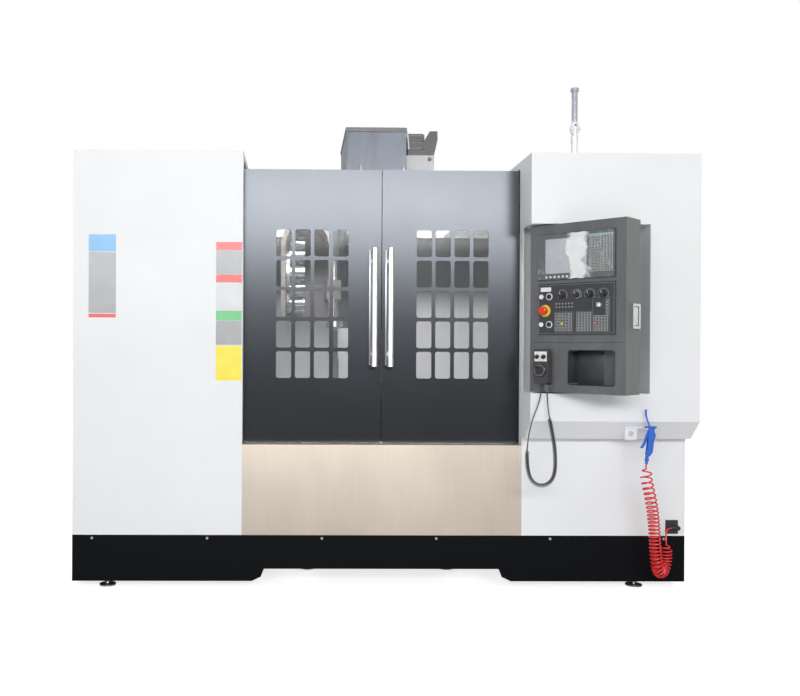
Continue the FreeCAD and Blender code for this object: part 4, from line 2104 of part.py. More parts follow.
def signal_lamp():
    """Folding part: a bulb-shaped knuckle slotted over the base's tongue, the clear tube and its cap."""
    outline = [
        (0, -30.0),
        (14.0, -28.0),
        (21.0, -18.0),
        (LAMP_PIVOT_RADIUS, 0),
        (22.0, 14.0),
        (LAMP_TUBE_RADIUS, 34.0),
        (LAMP_TUBE_RADIUS, LAMP_TUBE_TOP - LAMP_PIVOT_Z),
        (LAMP_CAP_RADIUS, LAMP_TUBE_TOP - LAMP_PIVOT_Z),
        (LAMP_CAP_RADIUS, LAMP_TOP - LAMP_PIVOT_Z - 6.0),
        (LAMP_CAP_RADIUS * 0.5, LAMP_TOP - LAMP_PIVOT_Z),
        (0, LAMP_TOP - LAMP_PIVOT_Z),
    ]
    body = revolved(outline, V(LAMP_X, LAMP_Y, LAMP_PIVOT_Z))
    slot_half = LAMP_TONGUE_HALF + LAMP_TONGUE_GAP
    slot = box(
        LAMP_X - slot_half,
        LAMP_X + slot_half,
        LAMP_Y - 40.0,
        LAMP_Y + 40.0,
        LAMP_PIVOT_Z - 40.0,
        LAMP_PIVOT_Z + 20.0,
    )
    pin = rod(V(LAMP_X - 12.0, LAMP_Y, LAMP_PIVOT_Z), X_AXIS, LAMP_PIN_RADIUS, 24.0)
    lug = rod(V(LAMP_X + LAMP_PIVOT_RADIUS - 4.0, LAMP_Y, LAMP_PIVOT_Z), X_AXIS, 7.0, 10.0)
    return joined(cut(body, slot), pin, lug)


# ------------------------------------------------------------------ air gun
def gun_point(x, z):
    return V(x, GUN_Y, z)


def trigger_pin(radius):
    """The trigger's pin, or its hole when the radius has the fit added."""
    start = V(TRIGGER_PIN_X, GUN_Y - TRIGGER_PIN_LENGTH / 2, TRIGGER_PIN_Z)
    return rod(start, Y_AXIS, radius, TRIGGER_PIN_LENGTH)


def air_gun():
    """Blow gun hanging nozzle up between the prongs: nozzle tube, head, slanting handle, air inlet."""
    nozzle = joined(
        rod(gun_point(1232.0, 862.0), Z_AXIS, 4.5, 32.0),
        bent_rod([gun_point(1232.0, 870.0), gun_point(1240.0, 840.0), gun_point(1253.0, 806.0)], 3.6),
    )
    handle = prism_y(
        [
            (1243.0, 812.0),
            (1263.0, 816.0),
            (1276.0, 772.0),
            (1268.0, 742.0),
            (1262.0, 694.0),
            (1248.0, 674.0),
            (1231.0, 678.0),
            (1238.0, 720.0),
            (1240.0, 760.0),
        ],
        GUN_Y - GUN_HALF_THICKNESS,
        GUN_Y + GUN_HALF_THICKNESS,
    )
    long_edges = [e for e in handle.Edges if abs(e.tangentAt(e.FirstParameter).y) < 0.1]
    handle = handle.makeFillet(3.0, long_edges)
    shoulder = box(
        PRONG_X[0] - 1.0,
        PRONG_X[1] + 7.0,
        GUN_Y - GUN_HALF_THICKNESS,
        GUN_Y + GUN_HALF_THICKNESS,
        PRONG_TOP,
        PRONG_TOP + 9.0,
    )
    slot_half = TRIGGER_HALF_THICKNESS + TRIGGER_SIDE_GAP
    trigger_slot = box(1225.0, 1249.0, GUN_Y - slot_half, GUN_Y + slot_half, 700.0, 790.0)
    pin = trigger_pin(TRIGGER_PIN_RADIUS)
    inlet = revolved(
        [(0, 0), (8.0, 0), (8.0, 14.0), (10.0, 14.0), (10.0, 24.0), (6.5, 24.0), (6.5, 40.0), (0, 40.0)],
        V(INLET_X, GUN_Y, INLET_Z),
        V(*INLET_WAY),
    )
    return joined(cut(joined(handle, nozzle, shoulder), trigger_slot), pin, inlet)


def bent_rod(points, radius):
    """Straight round lengths joined by balls at their bends."""
    parts = []
    for a, b in zip(points[:-1], points[1:]):
        parts.append(rod(a, b.sub(a), radius, b.sub(a).Length))
    for p in points[1:-1]:
        parts.append(Part.makeSphere(radius, p))
    return joined(*parts)


def gun_trigger():
    """Lever that squeezes towards the handle about its pin."""
    lever = prism_y(
        [
            (1239.0, 787.0),
            (1247.0, 787.0),
            (1247.0, 777.0),
            (1237.0, 760.0),
            (1229.0, 730.0),
            (1217.0, 712.0),
            (1206.0, 712.0),
            (1222.0, 740.0),
            (1231.0, 768.0),
        ],
        GUN_Y - TRIGGER_HALF_THICKNESS,
        GUN_Y + TRIGGER_HALF_THICKNESS,
    )
    return cut(lever, trigger_pin(TRIGGER_PIN_RADIUS + RUNNING_FIT))


def hose_fittings():
    """Elbow on the cabinet's front that takes the hose, with its wall plate."""
    plate = box(FITTING_X - 50.0, FITTING_X + 12.0, -FITTING_PLATE, 0, FITTING_Z - 34.0, FITTING_Z + 34.0)
    body = revolved(
        [(0, 0), (13.0, 0), (13.0, 14.0), (10.0, 14.0), (10.0, 34.0), (0, 34.0)],
        V(FITTING_X, -FITTING_PLATE, FITTING_Z),
        V(0, -1, 0),
    )
    branch = rod(V(FITTING_X, -BRANCH_OUT, FITTING_Z), V(-1, 0, 0), 8.0, BRANCH_LENGTH)
    return joined(plate, body, branch)


# ------------------------------------------------------------------ cords
class Route:
    """A path of straight runs and tangent arcs through hand-placed corners, read by length."""

    def __init__(self, points, label):
        self.edges = []
        radii = []
        start = points[0]
        for before, corner, after in zip(points[:-2], points[1:-1], points[2:]):
            run = min(corner.sub(before).Length, after.sub(corner).Length)
            setback = CORNER_SHARE * run
            first = corner.add(before.sub(corner).normalize().multiply(setback))
            last = corner.add(after.sub(corner).normalize().multiply(setback))
            self.edges.append(Part.LineSegment(start, first).toShape())
            self.edges.append(corner_arc(first, corner, last))
            radii.append(round(self.edges[-1].Curve.Radius, 1))
            start = last
        self.edges.append(Part.LineSegment(start, points[-1]).toShape())
        self.length = sum(e.Length for e in self.edges)
        print(label, "bend radii", radii, "length", round(self.length, 1))

    def at(self, distance):
        """Point and direction at a distance along the route."""
        left = distance
        for edge in self.edges[:-1]:
            if left <= edge.Length:
                break
            left -= edge.Length
        else:
            edge = self.edges[-1]
        place = edge.getParameterByLength(left)
        return edge.valueAt(place), edge.tangentAt(place).normalize()

    def part(self, start, end):
        """The edges between two distances that both lie on straight runs."""
        pieces = []
        passed = 0.0
        for edge in self.edges:
            a = max(start - passed, 0.0)
            b = min(end - passed, edge.Length)
            if b - a > 0.001 and b - a < edge.Length - 0.001:
                ends = [edge.valueAt(edge.getParameterByLength(d)) for d in (a, b)]
                pieces.append(Part.LineSegment(*ends).toShape())
            elif b - a > 0.001:
                pieces.append(edge)
            passed += edge.Length
        return pieces


def corner_arc(first, corner, last):
    """Arc that leaves the first point towards the corner and reaches the last point away from it."""
    into = corner.sub(first)
    turn = into.getAngle(last.sub(corner))
    radius = into.Length / math.tan(turn / 2)
    middle = first.add(last).multiply(0.5).sub(corner).normalize()
    middle.multiply(radius / math.cos(turn / 2) - radius)
    return Part.Arc(first, corner.add(middle), last).toShape()


def biarc(start, start_way, end, end_way):
    """Two arcs that join two points in given directions."""
    across = end.sub(start)
    ways = start_way.add(end_way)
    rest = 2 * (1 - start_way.dot(end_way))
    along = across.dot(ways)
    reach = (math.sqrt(along * along + rest * across.dot(across)) - along) / rest
    first = start.add(V(start_way).multiply(reach))
    second = end.sub(V(end_way).multiply(reach))
    middle = first.add(second).multiply(0.5)
    return [corner_arc(start, first, middle), corner_arc(middle, second, end)]


class Curls:
    """A helix round part of a route, whose radius swells from nothing and shrinks back in its last turn."""

    def __init__(self, route, start, end, radius, pitches):
        self.route = route
        self.start = start
        self.radius = radius
        self.pitches = pitches
        self.span = end - start
        steps = 400
        self.turned = [0.0]
        for i in range(steps):
            share = (i + 0.5) / steps
            self.turned.append(self.turned[-1] + self.span / steps / self.pitch(share))
        self.turns = round(self.turned[-1])
        self.stretch = self.turns / self.turned[-1]

    def pitch(self, share):
        """Pitch along the coil, in straight stretches between the given shares of its length."""
        for (s0, p0), (s1, p1) in zip(self.pitches[:-1], self.pitches[1:]):
            if share <= s1:
                return p0 + (p1 - p0) * (share - s0) / (s1 - s0)
        return self.pitches[-1][1]

    def distance(self, turn):
        """How far along the route a given turn has come."""
        goal = turn / self.stretch
        steps = len(self.turned) - 1
        for i in range(steps):
            if self.turned[i + 1] >= goal:
                part = (goal - self.turned[i]) / (self.turned[i + 1] - self.turned[i])
                return self.start + (i + part) / steps * self.span
        return self.start + self.span

    def point(self, turn):
        centre, way = self.route.at(self.distance(turn))
        side = V(0, -1, 0).cross(way).normalize()
        front = way.cross(side)
        near_end = max(min(turn, self.turns - turn), 0.0) / LEAD_TURNS
        swell = 1.0 if near_end >= 1 else near_end * near_end * (3 - 2 * near_end)
        angle = 2 * math.pi * turn
        offset = side.multiply(math.cos(angle)).add(front.multiply(math.sin(angle)))
        return centre.add(offset.multiply(self.radius * swell))

    def way(self, turn):
        if turn <= 0:
            return self.route.at(self.start)[1]
        if turn >= self.turns:
            return self.route.at(self.start + self.span)[1]
        return self.point(turn + 0.001).sub(self.point(turn - 0.001)).normalize()

    def edges(self):
        arcs = []
        for i in range(self.turns * 2):
            a = i / 2
            b = (i + 1) / 2
            arcs += biarc(self.point(a), self.way(a), self.point(b), self.way(b))
        return arcs

    def least_gap(self, wire_radius):
        """Smallest space between one turn and the turns near it."""
        samples = 16
        points = [self.point(i / samples) for i in range(self.turns * samples + 1)]
        nearest = min(
            points[i].sub(points[j]).Length
            for i in range(len(points))
            for j in range(i + samples * 5 // 8, min(i + samples * 2, len(points)))
        )
        return nearest - 2 * wire_radius


def curly_tube(route, curls, radius, label):
    """One unbroken tube: plain to the coil, round its turns, and plain to the end."""
    edges = route.part(0.0, curls.start) + curls.edges()
    edges += route.part(curls.start + curls.span, route.length)
    wire = Part.Wire(edges)
    first = edges[0]
    begin = first.FirstParameter
    ring = Part.Wire([Part.makeCircle(radius, first.valueAt(begin), first.tangentAt(begin))])
    tube = wire.makePipeShell([ring], True, False)
    expected = math.pi * radius**2 * sum(e.Length for e in edges)
    print(label, "turns", curls.turns, "least gap", round(curls.least_gap(radius), 2))
    length = round(sum(e.Length for e in edges))
    print(label, "length", length, "volume share", round(tube.Volume / expected, 4))
    return tube


def pendant_cord():
    """Curly cord from the pendant's strain relief down in a loop and up to the gland under the box."""
    start = on_panel(Part.Vertex(RELIEF_X, RELIEF_Y, PENDANT_BOTTOM - RELIEF_LENGTH)).Point
    end = on_panel(Part.Vertex(GLAND_X, -GLAND_OUT, GLAND_Z - GLAND_DROP)).Point
    down = V(0, 0, -CORD_EXIT_RUN)
    corners = [start.add(down)] + [V(*p) for p in PENDANT_CORD_POINTS] + [end.add(down)]
    route = Route([start] + corners + [end], "pendant_cord")
    curls = Curls(route, PENDANT_COIL_START, PENDANT_COIL_END, PENDANT_COIL_RADIUS, PENDANT_COIL_PITCHES)
    return curly_tube(route, curls, PENDANT_WIRE_RADIUS, "pendant_cord")


def air_hose():
    """Coiled hose from the gun's inlet down, round and up to the elbow on the cabinet."""
    lean = V(*INLET_WAY).normalize()
    start = V(INLET_X, GUN_Y, INLET_Z).add(lean.multiply(INLET_LENGTH))
    end = V(FITTING_X - BRANCH_LENGTH, -BRANCH_OUT, FITTING_Z)
    route = Route([start] + [V(*p) for p in HOSE_POINTS] + [end], "air_hose")
    curls = Curls(route, HOSE_COIL_START, HOSE_COIL_END, HOSE_COIL_RADIUS, HOSE_COIL_PITCHES)
    return curly_tube(route, curls, HOSE_RADIUS, "air_hose")


def pieces_of_machine():
    """Every node's name and how it is made."""
    return {
        "base_skirt": base_skirt,
        "levelling_feet": levelling_feet,
        "left_cabinet": left_cabinet,
        "right_cabinet": right_cabinet,
        "front_apron": front_apron,
        "door_rails": door_rails,
        "left_door": lambda: door(-1),
        "right_door": lambda: door(1),
        "left_door_glass": lambda: door_glass(-1),
        "right_door_glass": lambda: door_glass(1),
        "left_door_handle": lambda: door_handle(-1),
        "right_door_handle": lambda: door_handle(1),
        "bed": bed,
        "column": column,
        "y_ball_screw": y_ball_screw,
        "axis_motors": axis_motors,
        "saddle": saddle,
        "x_ball_screw": x_ball_screw,
        "table": table,
        "y_cover_inner": y_cover_inner,
        "y_cover_middle": y_cover_middle,
        "z_cover_lower": lambda: z_cover_plate(1),
        "z_cover_upper": lambda: z_cover_plate(2),
        "inner_guards": inner_guards,
        "headstock": headstock,
        "head_cover": head_cover,
        "spindle_motor": spindle_motor,
        "cable_carrier": cable_carrier,
        "spindle": spindle,
        "z_ball_screw": z_ball_screw,
        "magazine_housing": magazine_housing,
        "tool_disc": tool_disc,
        "change_arm_shaft": change_arm_shaft,
        "change_arm": change_arm,
        "electrical_cabinet": electrical_cabinet,
        "electrical_door": electrical_door,
        "panel_housing": panel_housing,
        "display_unit": display_unit,
        "operator_panel": operator_panel,
        "mode_switch": lambda: rotary_switch(ROTARY_X[0]),
        "rapid_override": lambda: rotary_switch(ROTARY_X[1]),
        "feed_override": lambda: rotary_switch(ROTARY_X[2]),
        "spindle_override": lambda: rotary_switch(ROTARY_X[3]),
        "key_switch": key_switch,
        "emergency_stop": emergency_stop,
        "power_off_button": lambda: push_button(BUTTON_X[1], BUTTON_Z[1]),
        "power_on_button": lambda: push_button(BUTTON_X[0], BUTTON_Z[1]),
        "cycle_start_button": lambda: push_button(BUTTON_X[0], BUTTON_Z[0]),
        "feed_hold_button": lambda: push_button(BUTTON_X[1], BUTTON_Z[0]),
        "pendant_body": pendant_body,
        "pendant_dial": pendant_dial,
        "pendant_axis_selector": lambda: pendant_selector(1),
        "pendant_rate_selector": lambda: pendant_selector(2),
        "signal_base": signal_base,
        "signal_lamp": signal_lamp,
        "air_gun": air_gun,
        "gun_trigger": gun_trigger,
        "hose_fittings": hose_fittings,
        "pendant_cord": pendant_cord,
        "air_hose": air_hose,
    }


os.makedirs("parts", exist_ok=True)
for node, make in pieces_of_machine().items():
    shape = make()
    shape.translate(V(0, MACHINE_SHIFT_Y, 0))
    shape.exportStep("parts/" + node + ".step")
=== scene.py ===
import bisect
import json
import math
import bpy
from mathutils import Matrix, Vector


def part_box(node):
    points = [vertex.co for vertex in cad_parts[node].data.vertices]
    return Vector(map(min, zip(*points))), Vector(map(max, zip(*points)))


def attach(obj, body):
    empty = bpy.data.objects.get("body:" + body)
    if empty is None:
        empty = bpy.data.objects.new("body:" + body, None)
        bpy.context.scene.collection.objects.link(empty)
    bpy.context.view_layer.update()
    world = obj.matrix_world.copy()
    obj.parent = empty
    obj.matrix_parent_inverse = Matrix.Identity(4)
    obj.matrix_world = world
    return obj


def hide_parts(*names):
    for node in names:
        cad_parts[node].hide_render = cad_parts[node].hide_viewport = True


bl_info = {
    "name": "Machining centre",
    "version": (1, 0, 0),
    "blender": (4, 5, 0),
    "location": "View3D > Sidebar > Machine",
    "description": "Dresses a vertical machining centre: finishes, trim, switches, cords, stage and camera",
    "category": "Object",
}

import bmesh
import bpy
from mathutils import Matrix, Vector

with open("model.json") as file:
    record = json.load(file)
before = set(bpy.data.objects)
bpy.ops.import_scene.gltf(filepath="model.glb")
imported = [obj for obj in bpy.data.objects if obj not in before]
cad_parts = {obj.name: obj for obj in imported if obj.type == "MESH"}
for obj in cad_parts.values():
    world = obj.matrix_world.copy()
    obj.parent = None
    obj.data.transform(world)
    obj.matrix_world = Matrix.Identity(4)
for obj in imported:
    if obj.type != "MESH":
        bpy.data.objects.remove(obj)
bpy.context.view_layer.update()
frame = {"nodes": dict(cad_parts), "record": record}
NODES = frame["nodes"]

# Drawing sizes are millimetres in the machine's own drawing frame: X to the right, Y to the rear from
# the base's front, Z up from the floor. place() moves a point to the row's frame in metres.
FRONT_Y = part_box("base_skirt")[0].y
MM = 0.001

# The control box: the lower left corner of its front, its turn about Z and its width.
CONTROL_CORNER = Vector((710.0, -81.0, 972.0))
CONTROL_TURN = math.radians(46.0)
CONTROL_WIDTH = 474.0


def place(x, y, z):
    return Vector((x * MM, y * MM + FRONT_Y, z * MM))


def drawn(node):
    """A node's lowest and highest corners in drawing millimetres."""
    low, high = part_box(node)
    shift = Vector((0, FRONT_Y, 0))
    return (low - shift) / MM, (high - shift) / MM


def scaled(colour, share):
    """A colour with each of its parts made darker or lighter by one share."""
    return [part * share for part in colour]


def circle(count):
    """Cosine and sine of evenly spaced angles round a circle."""
    angles = [2 * math.pi * i / count for i in range(count)]
    return [(math.cos(angle), math.sin(angle)) for angle in angles]


# ------------------------------------------------------------------ nodes
def added(tree, kind, inputs=(), **settings):
    """Adds a node: first its settings, then its inputs, each a socket to link or a plain value."""
    node = tree.nodes.new(kind)
    for name, value in settings.items():
        setattr(node, name, value)
    for key, value in dict(inputs).items():
        if isinstance(value, bpy.types.NodeSocket):
            tree.links.new(value, node.inputs[key])
        else:
            node.inputs[key].default_value = value
    return node


def worked(tree, operation, *values):
    """What one Math node makes of its values."""
    return added(tree, "ShaderNodeMath", enumerate(values), operation=operation).outputs[0]


# ------------------------------------------------------------------ sizes that a user may change
class MachineSizes(bpy.types.PropertyGroup):
    lens: bpy.props.FloatProperty(name="Lens", description="Focal length", default=37.81, unit="CAMERA")
    shift: bpy.props.FloatProperty(name="Shift", description="Sideways lens shift", default=0.1125)
    screw_head: bpy.props.FloatProperty(
        name="Screw head", description="Radius of the base's screw heads, mm", default=7.0, min=3.0, max=12.0
    )
    # The strip beside each handle is painted shadow: a grey sheet where the handle's shadow falls on the
    # door.
    shadow_strip_width: bpy.props.FloatProperty(
        name="Handle strip",
        description="Width of the strip beside each handle, mm",
        default=12.0,
        min=4.0,
        max=30.0,
    )
    eye_ring: bpy.props.FloatProperty(
        name="Lifting eye",
        description="Size of the lifting eye's ring, mm",
        default=15.0,
        min=8.0,
        max=25.0,
    )
    dial_marks: bpy.props.IntProperty(
        name="Dial marks", description="Marks round the hand wheel's dial", default=50, min=10, max=100
    )
    key_light: bpy.props.FloatProperty(
        name="Key light", description="Power that all lamps follow, W", default=290.0, min=0.0, unit="POWER"
    )
    fill: bpy.props.FloatProperty(
        name="Fill", description="Strength of the even fill light", default=0.42, min=0.0
    )


class MachineColours(bpy.types.PropertyGroup):
    white: bpy.props.FloatVectorProperty(
        name="Guards", description="White of the cabinets", subtype="COLOR", default=(0.84, 0.85, 0.86)
    )
    black: bpy.props.FloatVectorProperty(
        name="Doors",
        description="Black of the doors and base",
        subtype="COLOR",
        default=(0.007, 0.0075, 0.009),
    )
    stainless: bpy.props.FloatVectorProperty(
        name="Apron", description="Stainless steel", subtype="COLOR", default=(0.49, 0.431, 0.369)
    )
    box: bpy.props.FloatVectorProperty(
        name="Control box",
        description="Dark grey of the control box",
        subtype="COLOR",
        default=(0.128, 0.131, 0.136),
    )
    hose: bpy.props.FloatVectorProperty(
        name="Hose", description="Red of the air hose", subtype="COLOR", default=(0.75, 0.015, 0.02)
    )
    gun: bpy.props.FloatVectorProperty(
        name="Air gun", description="Blue of the air gun", subtype="COLOR", default=(0.02, 0.13, 0.62)
    )


# ------------------------------------------------------------------ finishes
class Finish:
    """A node material on object coordinates, built up step by step."""

    def __init__(self, name, colour, roughness, metallic=0.0):
        self.material = bpy.data.materials.new(name)
        self.material.use_nodes = True
        self.tree = self.material.node_tree
        self.tree.nodes.clear()
        self.shader = self.add("ShaderNodeBsdfPrincipled")
        self.output = self.add("ShaderNodeOutputMaterial", {"Surface": self.shader.outputs[0]})
        self.set(Base_Color=(*colour, 1.0), Roughness=roughness, Metallic=metallic)
        self.colour = colour
        self.coordinates = self.add("ShaderNodeTexCoord").outputs["Object"]

    def add(self, kind, inputs=(), **settings):
        return added(self.tree, kind, inputs, **settings)

    def work(self, operation, *values):
        return worked(self.tree, operation, *values)

    def feed(self, socket, source):
        self.tree.links.new(source, self.shader.inputs[socket])

    def set(self, **values):
        for name, value in values.items():
            self.shader.inputs[name.replace("_", " ")].default_value = value

    def along(self, axis):
        """The place along X, Y or Z, in metres."""
        return self.add("ShaderNodeSeparateXYZ", {0: self.coordinates}).outputs[axis]

    def noise(self, scale, detail, stretch=(1.0, 1.0, 1.0), roughness=0.5):
        mapping = self.add("ShaderNodeMapping", {"Vector": self.coordinates, "Scale": stretch})
        grain = {"Vector": mapping.outputs[0], "Scale": scale, "Detail": detail, "Roughness": roughness}
        return self.add("ShaderNodeTexNoise", grain).outputs["Fac"]

    def ramp(self, factor, low, high, edges=(0.3, 0.7)):
        ramp = self.add("ShaderNodeValToRGB", {"Fac": factor})
        for stop, edge, colour in zip(ramp.color_ramp.elements, edges, (low, high)):
            stop.position = edge
            stop.color = (*colour, 1.0)
        return ramp.outputs["Color"]

    def shade(self, factor, share):
        """Base colour that wanders by a share of itself, darker and lighter."""
        high = [min(part, 1.0) for part in scaled(self.colour, 1 + share)]
        self.feed("Base Color", self.ramp(factor, scaled(self.colour, 1 - share), high))

    def wander(self, factor, low, high):
        """Roughness that wanders between two values."""
        span = {"Value": factor, "To Min": low, "To Max": high}
        self.feed("Roughness", self.add("ShaderNodeMapRange", span).outputs[0])

    def bump(self, factor, strength, depth):
        relief = {"Height": factor, "Strength": strength, "Distance": depth}
        self.feed("Normal", self.add("ShaderNodeBump", relief).outputs[0])


FINISHES = {}


def grained(name, colour, roughness, drift, wear, skin):
    """A finish whose tone drifts, whose roughness wanders and whose skin is uneven, each by its own noise.

    drift: scale, detail and share of the colour. wear: scale, detail, lowest and highest share of the
    roughness. skin: scale, detail, strength and depth in metres.
    """
    finish = Finish(name, colour, roughness)
    finish.shade(finish.noise(*drift[:2]), drift[2])
    finish.wander(finish.noise(*wear[:2]), roughness * wear[2], roughness * wear[3])
    finish.bump(finish.noise(*skin[:2]), *skin[2:])
    return finish


def painted(name, colour, roughness):
    """Powder coat: a slow drift of tone and a fine orange peel."""
    peel = (420.0, 2.0, 0.04, 0.0005)
    return grained(name, colour, roughness, (1.7, 3.0, 0.03), (9.0, 3.0, 0.85, 1.15), peel)


def moulded(name, colour, roughness, grain=0.05):
    """Injection-moulded plastic with a faint spark-eroded grain."""
    skin = (900.0, 2.0, grain, 0.0003)
    return grained(name, colour, roughness, (14.0, 2.0, 0.05), (60.0, 2.0, 0.9, 1.1), skin)


def cast(name, colour, roughness):
    """Painted casting: coarse sand skin under filler and paint."""
    sand = (95.0, 4.0, 0.16, 0.001)
    return grained(name, colour, roughness, (5.0, 5.0, 0.08), (18.0, 3.0, 0.85, 1.2), sand)


def textured_black(name, colour, roughness, specular):
    """Black wrinkle coat with light specks where the grain catches the light."""
    finish = Finish(name, colour, roughness)
    grain = finish.noise(620.0, 3.0, roughness=0.6)
    finish.feed("Base Color", finish.ramp(grain, scaled(colour, 0.4), scaled(colour, 1.9), (0.35, 0.78)))
    finish.wander(finish.noise(4.0, 5.0, roughness=0.62), roughness * 0.92, roughness * 1.1)
    finish.bump(grain, 0.07, 0.0004)
    finish.set(Specular_IOR_Level=specular, Specular_Tint=(0.84, 0.9, 1.0, 1.0))
    return finish


def brushed(name, colour, roughness, axis, grain, depth, streak=0.1):
    """Metal with its grain along one axis."""
    finish = Finish(name, colour, roughness, 1.0)
    stretch = [1.0, 1.0, 1.0]
    stretch[axis] = 0.012
    lines = finish.noise(grain, 3.0, stretch, 0.6)
    finish.shade(lines, streak)
    finish.wander(finish.noise(6.0, 4.0), roughness * 0.8, roughness * 1.25)
    finish.bump(lines, depth, 0.0003)
    return finish


def smeared(*details):
    """Brushed sheet whose gloss changes where hands and cloths have wiped it."""
    finish = brushed(*details)
    finish.wander(finish.noise(3.2, 5.0, (1.0, 1.0, 0.6)), 0.3, 0.44)
    return finish


def two_tone(name, low_colour, high_colour, roughness, low_edge, high_edge):
    """One colour below and another above, with a soft line between the two heights in metres."""
    finish = painted(name, low_colour, roughness)
    heights = {"Value": finish.along("Z"), "From Min": low_edge, "From Max": high_edge}
    share = finish.add("ShaderNodeMapRange", heights).outputs[0]
    finish.feed("Base Color", finish.ramp(share, low_colour, high_colour, (0.0, 1.0)))
    return finish


def two_sided(name, near_colour, far_colour, roughness, direction, edge):
    """Satin sheet with soft upright streaks, in another colour beyond a plane across the direction."""
    finish = Finish(name, near_colour, roughness)
    reach = finish.add("ShaderNodeVectorMath", {0: finish.coordinates, 1: direction}, operation="DOT_PRODUCT")
    beyond = finish.work("GREATER_THAN", reach.outputs["Value"], edge)
    streaks = finish.noise(11.0, 4.0, (1.0, 1.0, 0.25), 0.6)
    near = finish.ramp(streaks, scaled(near_colour, 0.84), scaled(near_colour, 1.12), (0.35, 0.68))
    far = finish.ramp(streaks, scaled(far_colour, 0.88), scaled(far_colour, 1.1))
    mix = finish.add("ShaderNodeMix", {"Factor": beyond, 6: near, 7: far}, data_type="RGBA")
    finish.feed("Base Color", mix.outputs[2])
    finish.wander(finish.noise(9.0, 4.0), roughness * 0.85, roughness * 1.15)
    finish.bump(finish.noise(420.0, 2.0), 0.04, 0.0004)
    return finish


def wrinkled_film(name, colour, glare_middle, glare_half_width):
    """Clear protective film, milky along its creases and in one upright band of glare."""
    finish = Finish(name, colour, 0.14)
    finish.shade(finish.noise(30.0, 3.0), 0.05)
    creases = finish.work("COMPARE", finish.noise(17.0, 3.0, (1.0, 1.0, 0.5), 0.6), 0.5, 0.011)
    sway = 0.09
    across = finish.work("MULTIPLY_ADD", finish.noise(16.0, 4.0), sway, finish.along("X"))
    offset = finish.work("SUBTRACT", across, glare_middle + sway / 2)
    band = {
        "Value": finish.work("ABSOLUTE", offset),
        "From Min": glare_half_width * 0.6,
        "From Max": glare_half_width * 1.3,
        "To Min": 0.82,
        "To Max": 0.1,
    }
    glare = finish.add("ShaderNodeMapRange", band, interpolation_type="SMOOTHSTEP").outputs[0]
    finish.feed("Alpha", finish.work("MAXIMUM", finish.work("MULTIPLY", creases, 0.26), glare))
    return finish


def glowing(name, colour, strength):
    """Lit diffuser of a lamp."""
    finish = Finish(name, colour, 0.5)
    finish.wander(finish.noise(40.0, 2.0), 0.45, 0.55)
    finish.set(Emission_Color=(*colour, 1.0), Emission_Strength=strength)
    return finish


def clear(name, colour, roughness, alpha):
    """Thin clear sheet with a little dust on it."""
    finish = Finish(name, colour, roughness)
    finish.shade(finish.noise(20.0, 3.0), 0.04)
    finish.wander(finish.noise(7.0, 4.0), roughness * 0.7, roughness * 1.4)
    finish.set(Alpha=alpha)
    return finish


